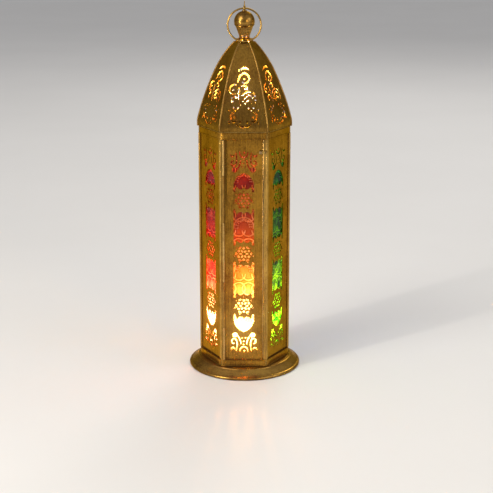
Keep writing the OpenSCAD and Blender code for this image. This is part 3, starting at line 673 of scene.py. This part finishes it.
def domed_head(name, node_name, share):
    """Low dome on the outer face of a rivet or peg, turned about a line along Y.

    Its rim's radius r is a little under half the node's width, and it rises by that radius times the
    share: over the angle a the radius is r cos a and the height r share sin a.
    """
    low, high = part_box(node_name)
    rim_share, sink = 0.45, 0.02
    r = rim_share * (high.x - low.x) / mm
    a = np.radians(np.linspace(0, 90, 13))
    reach = np.concatenate([[0], r * np.cos(a)])[:, None]
    rise = np.concatenate([[0], r * share * np.sin(a)])[:, None]
    t = np.linspace(0, 2 * np.pi, 32, endpoint=False)[None]
    x = (low.x + high.x) / 2 / mm + reach * np.cos(t)
    z = (low.z + high.z) / 2 / mm + reach * np.sin(t)
    return surface(name, np.stack([x, low.y / mm + sink - rise + 0 * t, z], 2), closed_rows=False)


# Finial

def collar():
    """Turned collar over the petals' tips: a bead, a groove and a bead, with its plug below."""
    bore = neck_r - finial_t - 0.5
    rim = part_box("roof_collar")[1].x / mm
    plug, bead_h = 6.6, 1.3
    profile = [
        [bore, collar_z0], [plug, collar_z0], [plug, collar_z1 - bead_h], [rim - 0.25, collar_z1 - bead_h],
        [rim, collar_z1 - 1.05], [rim, collar_z1 - 0.8], [rim - 0.45, collar_z1 - 0.62],
        [rim - 0.15, collar_z1 - 0.45], [rim - 0.2, collar_z1 - 0.1], [rim - 0.6, collar_z1],
        [bore, collar_z1]
    ]
    return lathe("turned_collar", softened(profile, 0.12), sharp=50)


def fluted_neck():
    """Neck with a straight vented foot and a fluted flare.

    At the turn t the flutes draw the outer skin in by depth (1 - |cos(flutes t / 2)|)^0.8, and they fade
    out at both ends of the flare. The vents are cut through the foot as slots.
    """
    flare_z = neck_z + neck_h
    outer = [
        [neck_r - finial_t, neck_z], [neck_r + 0.35, neck_z], [neck_r + 0.35, neck_z + 0.55],
        [neck_r, neck_z + 0.7], [neck_r, flare_z]
    ]
    rise = np.linspace(0, 1, 16)[1:-1, None]
    foot, head = np.array([neck_r, flare_z]), np.array([flare_r - 0.5, dome_z - 0.9])
    flank = foot + rise * (head - foot)
    rim = [[flare_r, dome_z - 0.75], [flare_r + 0.2, dome_z - 0.4], [flare_r, dome_z]]
    inner = [[flare_r - finial_t, dome_z], [neck_r - finial_t, flare_z]]
    profile = np.concatenate([outer, flank, rim, inner])

    def flute(t, r, z):
        """How far the skin is drawn in by the flutes."""
        share = np.clip((z - flare_z) / (dome_z - flare_z), 0, 1)
        fade = np.clip(share * 8, 0, 1) * np.clip((0.93 - share) * 12, 0, 1)
        skin = r > neck_r - finial_t + (flare_r - neck_r) * share + 0.3
        return -flute_depth * fade * skin * (1 - np.abs(np.cos(flutes * t / 2))) ** 0.8

    neck = lathe("fluted_neck", profile, swell=flute, rows=16 * flutes)
    vent_z = neck_z + vent_rise + vent_h / 2
    cutters = []
    for i in range(vents):
        a = 2 * math.pi * (i + 0.5) / vents
        x, y = neck_r * mm * math.cos(a), neck_r * mm * math.sin(a)
        bpy.ops.mesh.primitive_cube_add(size=1, location=(x, y, vent_z * mm))
        cutter = bpy.context.object
        cutter.scale = (3 * mm, vent_w * mm, vent_h * mm)
        cutter.rotation_euler = (0, 0, a)
        cutters.append(cutter)
    for cutter in cutters:
        cut = neck.modifiers.new("vent", "BOOLEAN")
        cut.object = cutter
        cut.operation = "DIFFERENCE"
        cut.solver = "EXACT"
    bpy.context.view_layer.update()
    shaped = bpy.data.meshes.new_from_object(neck.evaluated_get(bpy.context.evaluated_depsgraph_get()))
    neck.modifiers.clear()
    neck.data = shaped
    neck.data.shade_smooth()
    neck.data.set_sharp_from_angle(angle=math.radians(sharp_deg))
    for cutter in cutters:
        bpy.data.objects.remove(cutter)
    return neck


def spun_dome():
    """Hollow dome, two arcs about one middle, with a seam bead on the neck and a flat for the eye."""
    flat, hole_r = 0.2, 1.3
    mid = dome_top_z - (dome_r - flat)
    start = math.degrees(math.asin((dome_z - mid) / dome_r))
    end = math.degrees(math.asin((dome_top_z - mid) / dome_r))
    seat = dome_r * math.cos(math.radians(start))
    bead = arc((seat, dome_z + 0.55), 0.5, -90, 70, 7)
    outer = arc((0, mid), dome_r, start + 6, end, 40)
    inner = arc((0, mid), dome_r - finial_t, 82, start, 20)
    inner = inner[inner[:, 1] > dome_z]
    stem_hole = [[hole_r, dome_top_z], [hole_r, inner[0, 1]]]
    foot = [[seat - finial_t, dome_z]]
    return lathe("spun_dome", np.concatenate([bead, outer, stem_hole, inner, foot]), rows=160)


def eye_stem_and_spike():
    """Stem and spike of the eye, both turned: a bar with a disc and a waist, and a taper to a fine tip."""
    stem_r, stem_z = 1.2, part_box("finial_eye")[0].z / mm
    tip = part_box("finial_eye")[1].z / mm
    loop_z = eye_z - eye_r
    profile = [
        [0, stem_z], [stem_r, stem_z], [stem_r, dome_top_z], [2.55, dome_top_z], [2.6, dome_top_z + 0.35],
        [2.2, dome_top_z + 0.75], [1.3, dome_top_z + 0.9], [1.1, loop_z + 0.3], [0.9, loop_z + 0.4],
        [0, loop_z + 0.4]
    ]
    bar = lathe("eye_stem", softened(profile, 0.12, closed=False), closed=False, rows=64)
    top = eye_z + eye_r - 0.3
    taper = [
        [0, top], [0.8, top], [0.95, top + 0.5], [0.72, top + 0.95], [0.55, top + 1.3], [0.4, tip - 1.0],
        [0.26, tip - 0.25], [0, tip]
    ]
    return bar, lathe("eye_spike", softened(taper, 0.2, closed=False), closed=False, rows=48)


def eye_loop():
    """Loop of the eye: a round-edged outline of (radius, distance along X) turned about the X axis."""
    bore = wire_r + 0.3
    half = eye_t / 2
    outline = softened([[bore, -half], [eye_r, -half], [eye_r, half], [bore, half]], 0.45, 6)
    t = np.linspace(0, 2 * np.pi, 64, endpoint=False)[:, None]
    r, x = outline[:, 0][None], outline[:, 1][None]
    return surface("eye_loop", np.stack([x + 0 * t, r * np.cos(t), eye_z + r * np.sin(t)], 2))


def ring():
    """Hanging ring leaning forward: a circle of wire through the eye.

    Its plane holds X and the leaning direction d; point = centre + (R + w cos s)(cos t X + sin t d)
    + w sin s (X crossed with d). The wire's radius w swells a little where its ends are brazed.
    """
    braze_turn, braze_spread, braze_swell = 1.72, 0.05, 0.12
    d = np.array([0, -math.sin(ring_lean), -math.cos(ring_lean)])
    across = np.cross([1.0, 0, 0], d)
    centre = np.array([0, 0, eye_z]) + ring_r * d
    t = np.linspace(0, 2 * np.pi, 168, endpoint=False)[:, None, None]
    s = np.linspace(0, 2 * np.pi, 16, endpoint=False)[None, :, None]
    w = wire_r * (1 + braze_swell * np.exp(-((t - braze_turn) / braze_spread) ** 2))
    outwards = np.cos(t) * np.array([1.0, 0, 0]) + np.sin(t) * d
    points = centre + (ring_r + w * np.cos(s)) * outwards + w * np.sin(s) * across
    return surface("wire_ring", points)


# Glass

# The pressed pattern in millimetres: its rows of small rings, and the fan of arcs in every third row
row_step, row_z = 15.93, 95.9
small_ring_r, ring_x = 6.6, 5.0
fan_arcs, fan_rise, fan_overlap = (10.0, 8.1, 6.2), 3.6, 1.5
dots_per_mm, dot_gap = 2.4, 0.9
# How wide its lines' crests are, where the foot beside a crest lies, and how deep both are pressed
crest_w, foot_off, foot_w = 0.5, 1.15, 0.45
crest_h, foot_h = 0.55, 0.2
# The clear bosses, one behind each medallion of the piercing
boss_r, medallion_z, medallion_step = 7.5, 134.2, 57.05


def pressed_pattern(x, z):
    """Pattern pressed into a pane: the share of crest (painted highlight), of foot (painted shade) and of
    clear boss at each point.

    Rows of small rings lie side by side, crossing on the middle line, and every third row is the lower
    half of such a row under a fan of three arcs, whose inner two are dotted. The distance d to the
    nearest line gives the crest exp(-(d / crest_w)^2) and, on both sides of it, the foot
    exp(-((d - foot_off) / foot_w)^2). At the distance r from a medallion's middle, the clear boss is
    exp(-(r / boss_r)^6).
    """
    far_off = 9.0
    near = np.full_like(x, far_off)
    for row in range(-6, 10):
        middle_z = row_z + row * row_step
        fan = row % 3 == 1
        fan_z = middle_z + fan_rise
        for column in (-3, -1, 1, 3):
            d = np.abs(np.hypot(x - column * ring_x, z - middle_z) - small_ring_r)
            in_row = (z < middle_z) if fan else np.ones_like(x, bool)
            near = np.where(in_row, np.minimum(near, d), near)
        if fan:
            for column in (-1, 0, 1):
                a = np.arctan2(z - fan_z, x - 4 * ring_x * column)
                r = np.hypot(x - 4 * ring_x * column, z - fan_z)
                for step, radius in enumerate(fan_arcs):
                    gaps = dot_gap * (np.cos(a * radius * dots_per_mm) < 0) if step else 0.0
                    d = np.abs(r - radius) + gaps
                    near = np.where(z > fan_z - fan_overlap, np.minimum(near, d), near)
    crest = np.exp(-((near / crest_w) ** 2))
    foot = np.exp(-(((near - foot_off) / foot_w) ** 2))
    boss = np.zeros_like(x)
    for row in (-1, 0, 1):
        r = np.hypot(x, z - medallion_z - row * medallion_step)
        boss = np.maximum(boss, np.exp(-((r / boss_r) ** 6)))
    return crest, foot, boss


def pressed_pane(name, k):
    """Pane with its pattern pressed into the outer face.

    The outer face is a grid at distance glass_out - crest_h (1 - crest) - foot_h foot, in the face's own
    frame of x and z, turned to face k. A border ring of points drops to the flat back, which is one face.
    """
    half, z0, z1 = glass_high.x / mm, glass_low.z / mm, glass_high.z / mm
    x, z = np.meshgrid(np.linspace(-half, half, 77), np.linspace(z0, z1, 469))
    crest, foot, boss = pressed_pattern(x, z)
    depth = glass_out - crest_h * (1 - crest) - foot_h * foot
    edge = np.ones_like(x, bool)
    edge[1:-1, 1:-1] = False
    depth[edge] = glass_out - crest_h
    rows, columns = x.shape
    index = np.arange(rows * columns).reshape(rows, columns)
    quads = np.stack([index[:-1, :-1], index[:-1, 1:], index[1:, 1:], index[1:, :-1]], 2).reshape(-1, 4)
    border = np.concatenate([index[0, :-1], index[:-1, -1], index[-1, :0:-1], index[:0:-1, 0]])
    back = rows * columns + np.arange(len(border))
    walls = np.stack([border, back, np.roll(back, -1), np.roll(border, -1)], 1)
    across = np.concatenate([x.ravel(), x.ravel()[border]])
    out = np.concatenate([depth.ravel(), np.full(len(border), glass_in)])
    up = np.concatenate([z.ravel(), z.ravel()[border]])
    a = math.radians(60 * k)
    turned_x = across * math.cos(a) + out * math.sin(a)
    turned_y = across * math.sin(a) - out * math.cos(a)
    points = np.stack([turned_x, turned_y, up], 1)
    mesh = bpy.data.meshes.new(name)
    mesh.from_pydata((points * mm).tolist(), [], quads.tolist() + walls.tolist() + [back[::-1].tolist()])
    # The crest and foot marks carry the painted highlight and shade of the pressed lines; boss marks the
    # clear glass
    for mark, share in (("crest", crest), ("foot", foot), ("boss", boss)):
        values = np.concatenate([share.ravel(), np.zeros(len(border))]).astype(np.float32)
        mesh.attributes.new(mark, "FLOAT", "POINT").data.foreach_set("value", values)
    return finished(name, mesh, 50)


# Tea light

def crimped_cup():
    """Drawn foil cup: fine crimps round its wall, a step at its foot and a rolled edge.

    On the wall, from 8% to 92% of its height, the radius varies by crimp_depth cos(crimps turn).
    """
    r, t, h = 19.0, 0.4, cup_top_z - cup_z
    crimps, crimp_depth = 60, 0.07
    profile = np.concatenate([
        [[0, 0], [r - 1.6, 0], [r - 0.7, 0.6], [r - 0.15, 1.4], [r - 0.15, h - 1.2], [r - 0.1, h - 0.8]],
        arc((r - 0.35, h - 0.35), 0.35, -40, 180, 10),
        [[r - t - 0.2, h - 0.9], [r - t - 0.15, 1.4], [r - 1.9, t], [0, t]]
    ]) + [0, cup_z]

    def crimp(turn, radius, z):
        """How far the wall is pressed in or out by the crimps."""
        share = (z - cup_z) / h
        on_wall = (share > 0.08) * (share < 0.92) * (radius > r - 1)
        return crimp_depth * np.cos(crimps * turn) * on_wall

    return lathe("crimped_cup", profile, closed=False, swell=crimp, rows=360)


def melted_wax():
    """Wax with a pool: low in the middle, drawn up at the cup's wall and round the wick.

    Its top is the pool's height, plus 0.5 exp((r - wall) / 0.8), plus 0.7 exp(-r / 1.3), less a shallow
    cosine of r.
    """
    wall, under_z = 18.35, cup_z + 0.45
    r = np.linspace(wall, 0, 40)
    at_wall, at_wick = 0.5 * np.exp((r - wall) / 0.8), 0.7 * np.exp(-r / 1.3)
    top = wax_z - 0.35 + at_wall + at_wick - 0.25 * np.cos(r / wall * 2.2)
    under = [[0, under_z], [wall - 1.4, under_z], [wall, cup_z + 1.6]]
    return lathe("melted_wax", np.concatenate([under, np.stack([r, top], 1)]), closed=False, rows=120)


def bent_wick():
    """Braided wick: over the share s of its height it leans by 6.5 (s - 0.55)^2 near its tip.

    It sways by 0.3 sin(5 s), and its radius follows the braid: 0.72 + 0.08 sin(60 s).
    """
    s = np.linspace(0, 1, 28)
    z = cup_z + 2 + (wick_z - cup_z - 2.2) * s
    x = 1.3 * np.clip(s - 0.55, 0, 1) ** 2 * 5
    return tube("bent_wick", np.stack([x, 0.3 * np.sin(5 * s), z], 1), 0.72 + 0.08 * np.sin(60 * s))


def flame():
    """Still candle flame, over the share s of its height: radius flame_r sin(pi s^0.72)^0.85 (1 - s / 4)."""
    flame_r = 3.9
    s = np.linspace(0, 1, 48)
    r = flame_r * np.sin(np.pi * s ** 0.72) ** 0.85 * (1 - 0.25 * s)
    r[0] = r[-1] = 0
    z = flame_z0 + (flame_z1 - flame_z0) * s
    return lathe("candle_flame", np.stack([r, z], 1), closed=False, rows=48)


# Grain of the scratches, which run up the sheet: how many to a metre across it and up it
SHEET_GRAIN, PETAL_GRAIN, TRIM_GRAIN = (900, 900, 55), (700, 700, 60), (800, 800, 120)

# Finishes: bright metal, its patina, its grain, and its roughness from polished to dull
sheet_brass = brass("aged sheet brass", (0.44, 0.22, 0.027), (0.09, 0.034, 0.006), SHEET_GRAIN, (0.18, 0.38))
petal_brass = brass("aged petal brass", (0.38, 0.2, 0.032), (0.08, 0.032, 0.007), PETAL_GRAIN, (0.2, 0.4))
trim_brass = brass("dark trim brass", (0.36, 0.2, 0.045), (0.08, 0.036, 0.01), TRIM_GRAIN, (0.28, 0.5))
edge_brass = brass(
    "rubbed edge brass", (0.56, 0.34, 0.08), (0.16, 0.078, 0.018), SHEET_GRAIN, (0.16, 0.34), dirt=0.6
)
knuckle_brass = brass("worn knuckle brass", (0.62, 0.4, 0.13), (0.2, 0.1, 0.022), SHEET_GRAIN, (0.07, 0.15))
base_brass = spun_brass("spun base brass", (0.42, 0.23, 0.045), (0.11, 0.05, 0.013))
dome_brass = spun_brass("spun dome brass", (0.4, 0.22, 0.045), (0.1, 0.045, 0.012))
wire_steel = plain_metal("tarnished wire steel", (0.36, 0.24, 0.11), (0.14, 0.085, 0.038), (0.24, 0.44))
cup_foil = plain_metal("drawn foil", (0.85, 0.85, 0.86), (0.7, 0.7, 0.72), (0.16, 0.3))

# Body
place(spun_base(), "lantern", "brass_sheet", base_brass, "base_tray")
foot_band = hemmed_band("foot_band", foot_z, foot_z + band_h, foot_z)
place(foot_band, "lantern", "brass_sheet", sheet_brass, "bottom_frame")
head_band = hemmed_band("head_band", head_z - band_h, head_z, head_z)
place(head_band, "lantern", "brass_sheet", sheet_brass, "top_frame")
place(roof_hem(), "lantern", "brass_sheet", edge_brass)
dress(sheet_brass, *[f"panel_{face}" for face in FACES[1:]], "door_panel")
dress(edge_brass, *[f"corner_post_{i}" for i in range(1, 7)])
dress(trim_brass, "floor_plate", "clips_body", "clips_door", "candle_holder")
place(hinge_plate(), "door", "brass_trim", sheet_brass, "hinge_door_leaf")
for i in (0, 2, 4):
    place(rolled_knuckle(i, 1, panel_apothem), "door", "brass_trim", knuckle_brass)
place(rolled_knuckle(1, -1, post_apothem), "lantern", "brass_trim", trim_brass, "hinge_frame_leaf")
place(rolled_knuckle(3, -1, post_apothem), "lantern", "brass_trim", trim_brass)
place(door_bead(), "door", "brass_sheet", knuckle_brass)
dress(edge_brass, "latch_hook")
dress(wire_steel, "hinge_pin", "latch_rivet", "latch_peg", "eye_nut")
place(domed_head("rivet_dome", "latch_rivet", 0.4), "door", "steel_wire", wire_steel)
place(domed_head("peg_dome", "latch_peg", 0.6), "lantern", "steel_wire", wire_steel)

# Roof and finial
for k, face in enumerate(FACES):
    source = f"roof_petal_{face}"
    place(bent_petal(f"bent_petal_{face}", source, k), "lantern", "brass_sheet", petal_brass, source)
    place(folded_rib(f"folded_rib_{k + 1}", k), "lantern", "brass_trim", trim_brass, f"roof_rib_{k + 1}")
place(collar(), "lantern", "brass_trim", dome_brass, "roof_collar")
place(fluted_neck(), "lantern", "brass_sheet", dome_brass, "finial_neck")
place(spun_dome(), "lantern", "brass_sheet", dome_brass, "finial_dome")
stem, spike = eye_stem_and_spike()
place(stem, "lantern", "brass_trim", edge_brass, "finial_eye")
place(spike, "lantern", "brass_trim", edge_brass)
place(eye_loop(), "lantern", "brass_trim", edge_brass)
place(ring(), "ring", "brass_trim", edge_brass, "hanging_ring")

# Glass: each face's deep and pale tint at the foot, in the middle and at the head, and its blotches. Each
# hue is the glass's own, while the tints, pale at the foot and deep at the head, are painted light near the
# flame and painted shade above it
TINTS = {
    "front": ("amber", 0.3, [
        [(0.95, 0.72, 0.3), (1.0, 0.94, 0.74)], [(0.66, 0.19, 0.016), (1.0, 0.6, 0.24)],
        [(0.12, 0.008, 0.001), (0.4, 0.06, 0.01)]
    ]),
    "right": ("green", 1.1, [
        [(0.025, 0.17, 0.003), (0.5, 0.8, 0.1)], [(0.006, 0.05, 0.002), (0.27, 0.45, 0.04)],
        [(0.002, 0.028, 0.008), (0.03, 0.19, 0.05)]
    ]),
    "back_right": ("blue", 0.8, [
        [(0.06, 0.22, 0.7), (0.55, 0.8, 1.0)], [(0.008, 0.04, 0.35), (0.2, 0.45, 0.95)],
        [(0.002, 0.007, 0.12), (0.035, 0.12, 0.48)]
    ]),
    "back": ("violet", 0.8, [
        [(0.35, 0.1, 0.55), (0.85, 0.65, 1.0)], [(0.12, 0.015, 0.28), (0.6, 0.32, 0.85)],
        [(0.03, 0.004, 0.1), (0.22, 0.07, 0.42)]
    ]),
    "back_left": ("yellow", 0.5, [
        [(0.95, 0.75, 0.15), (1.0, 0.95, 0.6)], [(0.75, 0.38, 0.01), (1.0, 0.82, 0.25)],
        [(0.35, 0.12, 0.003), (0.8, 0.42, 0.05)]
    ]),
    "left": ("red", 0.6, [
        [(0.95, 0.5, 0.3), (1.0, 0.88, 0.72)], [(0.55, 0.015, 0.006), (0.95, 0.26, 0.12)],
        [(0.1, 0.001, 0.002), (0.4, 0.018, 0.014)]
    ]),
}
# The amber pane is redder at its hinge side
SIDE_TINTS = {"front": (1.0, 0.62, 0.35)}
for k, face in enumerate(FACES):
    colour, blotch, tints = TINTS[face]
    body = "door" if face == "front" else "lantern"
    finish = pressed_glass(f"{colour} pressed glass", tints, blotch, SIDE_TINTS.get(face))
    place(pressed_pane(f"pressed_pane_{face}", k), body, f"glass_{colour}", finish, f"glass_{face}")

# Candle
place(crimped_cup(), "tealight", "cup_aluminium", cup_foil, "tealight_cup")
place(melted_wax(), "tealight", "candle_wax", wax_material(), "tealight_wax")
place(bent_wick(), "tealight", "wick_cotton", wick_material(), "tealight_wick")
fire = place(flame(), "tealight", "candle_wax", flame_material())


# Stage, light and camera

def softbox(name, place_mm, aim_mm, size_mm, power, colour, tall_mm=None):
    """Area light that faces a point: a disc, or an upright strip where it is given a height."""
    lamp = bpy.data.lights.new(name, "AREA")
    lamp.shape = "RECTANGLE" if tall_mm else "DISK"
    lamp.size = size_mm * mm
    if tall_mm:
        lamp.size_y = tall_mm * mm
    lamp.energy = power
    lamp.color = colour
    held = added(name, lamp)
    held.location = Vector(place_mm) * mm
    held.rotation_euler = (Vector(aim_mm) - Vector(place_mm)).to_track_quat("-Z", "Y").to_euler()


def inside_lamp(name, kind, z, power, colour, soft_mm, carrier=None):
    """Lamp on the lantern's axis at the height z, which moves with its carrier where it has one."""
    lamp = bpy.data.lights.new(name, kind)
    lamp.energy = power
    lamp.color = colour
    lamp.shadow_soft_size = soft_mm * mm
    held = added(name, lamp)
    held.parent = carrier
    held.location = (0, 0, z * mm)
    return held


def studio_dome():
    """Soft light from all round: the far floor's tone at the horizon, dim above it, brighter overhead."""
    world = bpy.data.worlds.new("studio")
    world.use_nodes = True
    tree = world.node_tree
    upwards = axis_of(tree, node(tree, "TexCoord").outputs["Generated"], 2)
    tree.nodes["Background"].inputs["Color"].default_value = (0.95, 0.96, 1.0, 1)
    haze = span(tree, upwards, 0.02, 0.16, 0.33, 0.14)
    strength = maths(tree, "MAXIMUM", haze, span(tree, upwards, 0.0, 0.9, 0.14, 0.62))
    tree.links.new(strength, tree.nodes["Background"].inputs["Strength"])
    bpy.context.scene.world = world


def camera_on(aim_mm, away_mm, tilt, turn, lens_px):
    """Camera that looks at a point from a distance, raised by tilt and turned towards +X by turn.

    Its lens is given as a focal length in pixels of the photograph.
    """
    sensor_mm, picture_px = 36, 493
    camera = bpy.data.cameras.new("camera")
    camera.sensor_width = sensor_mm
    camera.lens = sensor_mm * lens_px / picture_px
    camera.clip_start, camera.clip_end = 0.05, 60
    viewer = added("camera", camera)
    sight = Vector((math.sin(turn) * math.cos(tilt), -math.cos(turn) * math.cos(tilt), math.sin(tilt)))
    viewer.location = Vector(aim_mm) * mm + sight * away_mm * mm
    viewer.rotation_euler = (-sight).to_track_quat("-Z", "Y").to_euler()
    return viewer


def lens_bloom():
    """Faint warm haze round whatever is brighter than white, as a lens gives."""
    scene = bpy.context.scene
    scene.use_nodes = True
    tree = scene.node_tree
    tree.nodes.clear()
    layers = tree.nodes.new("CompositorNodeRLayers")
    haze = tree.nodes.new("CompositorNodeGlare")
    haze.glare_type = "BLOOM"
    settings = {
        "Threshold": 1.2, "Smoothness": 0.5, "Clamp": True, "Maximum": 6.0, "Strength": 0.32,
        "Saturation": 1.0, "Size": 0.4
    }
    for name, value in settings.items():
        haze.inputs[name].default_value = value
    shown = tree.nodes.new("CompositorNodeComposite")
    tree.links.new(layers.outputs["Image"], haze.inputs["Image"])
    tree.links.new(haze.outputs["Image"], shown.inputs["Image"])


floor_half = 9000.0
floor_corners = np.array([
    [[-floor_half, -floor_half, 0], [floor_half, -floor_half, 0]],
    [[-floor_half, floor_half, 0], [floor_half, floor_half, 0]]
])
floor = surface("floor", floor_corners, closed_rows=False, closed_columns=False)
floor.data.materials.append(floor_material())

studio_dome()

# Each soft light's place, aim and size in millimetres, its power and its colour
body_middle = (0, 0, 190)
softbox("key", (-1500, -1300, 1700), body_middle, 1300, 30, (1.0, 0.97, 0.92))
softbox("fill", (1700, -900, 1000), body_middle, 1300, 10, (0.97, 0.98, 1.0))
softbox("rim", (500, 1800, 1700), body_middle, 1200, 14, (1.0, 0.98, 0.95))
softbox("warm_side", (900, -1500, 620), (0, 0, 230), 420, 5.0, (1.0, 0.8, 0.5))
softbox("strip", (-1000, -840, 330), (0, 0, 150), 50, 11, (1.0, 0.95, 0.86), tall_mm=1400)

# The flame's light, its beam up through the body's open head, and what the roof and the neck give back
FLAME_LIGHT, ROOF_LIGHT, NECK_LIGHT = (1.0, 0.86, 0.55), (1.0, 0.86, 0.6), (1.0, 0.76, 0.46)
inside_lamp("candle_glow", "POINT", wick_z + 7, 6.0, FLAME_LIGHT, 3.5, fire)
beam = inside_lamp("roof_beam", "SPOT", wick_z + 22, 450.0, ROOF_LIGHT, 3.5, fire)
beam.data.spot_size = math.radians(18)
beam.data.spot_blend = 0.3
beam.rotation_euler = (math.pi, 0, 0)
inside_lamp("roof_glow", "POINT", head_z + 38, 1.4, ROOF_LIGHT, 9)
inside_lamp("neck_glow", "POINT", neck_z + 5, 0.12, NECK_LIGHT, 1.5)

tilt, turn, lens_px = math.radians(15.85), math.radians(1.0), 1258.5
bpy.context.scene.camera = camera_on((2.14, 0, 130.8), 1349.9, tilt, turn, lens_px)

# The plain colour view keeps bright amber glass yellow, as a photograph shows it
bpy.context.scene.view_settings.view_transform = "Standard"
lens_bloom()
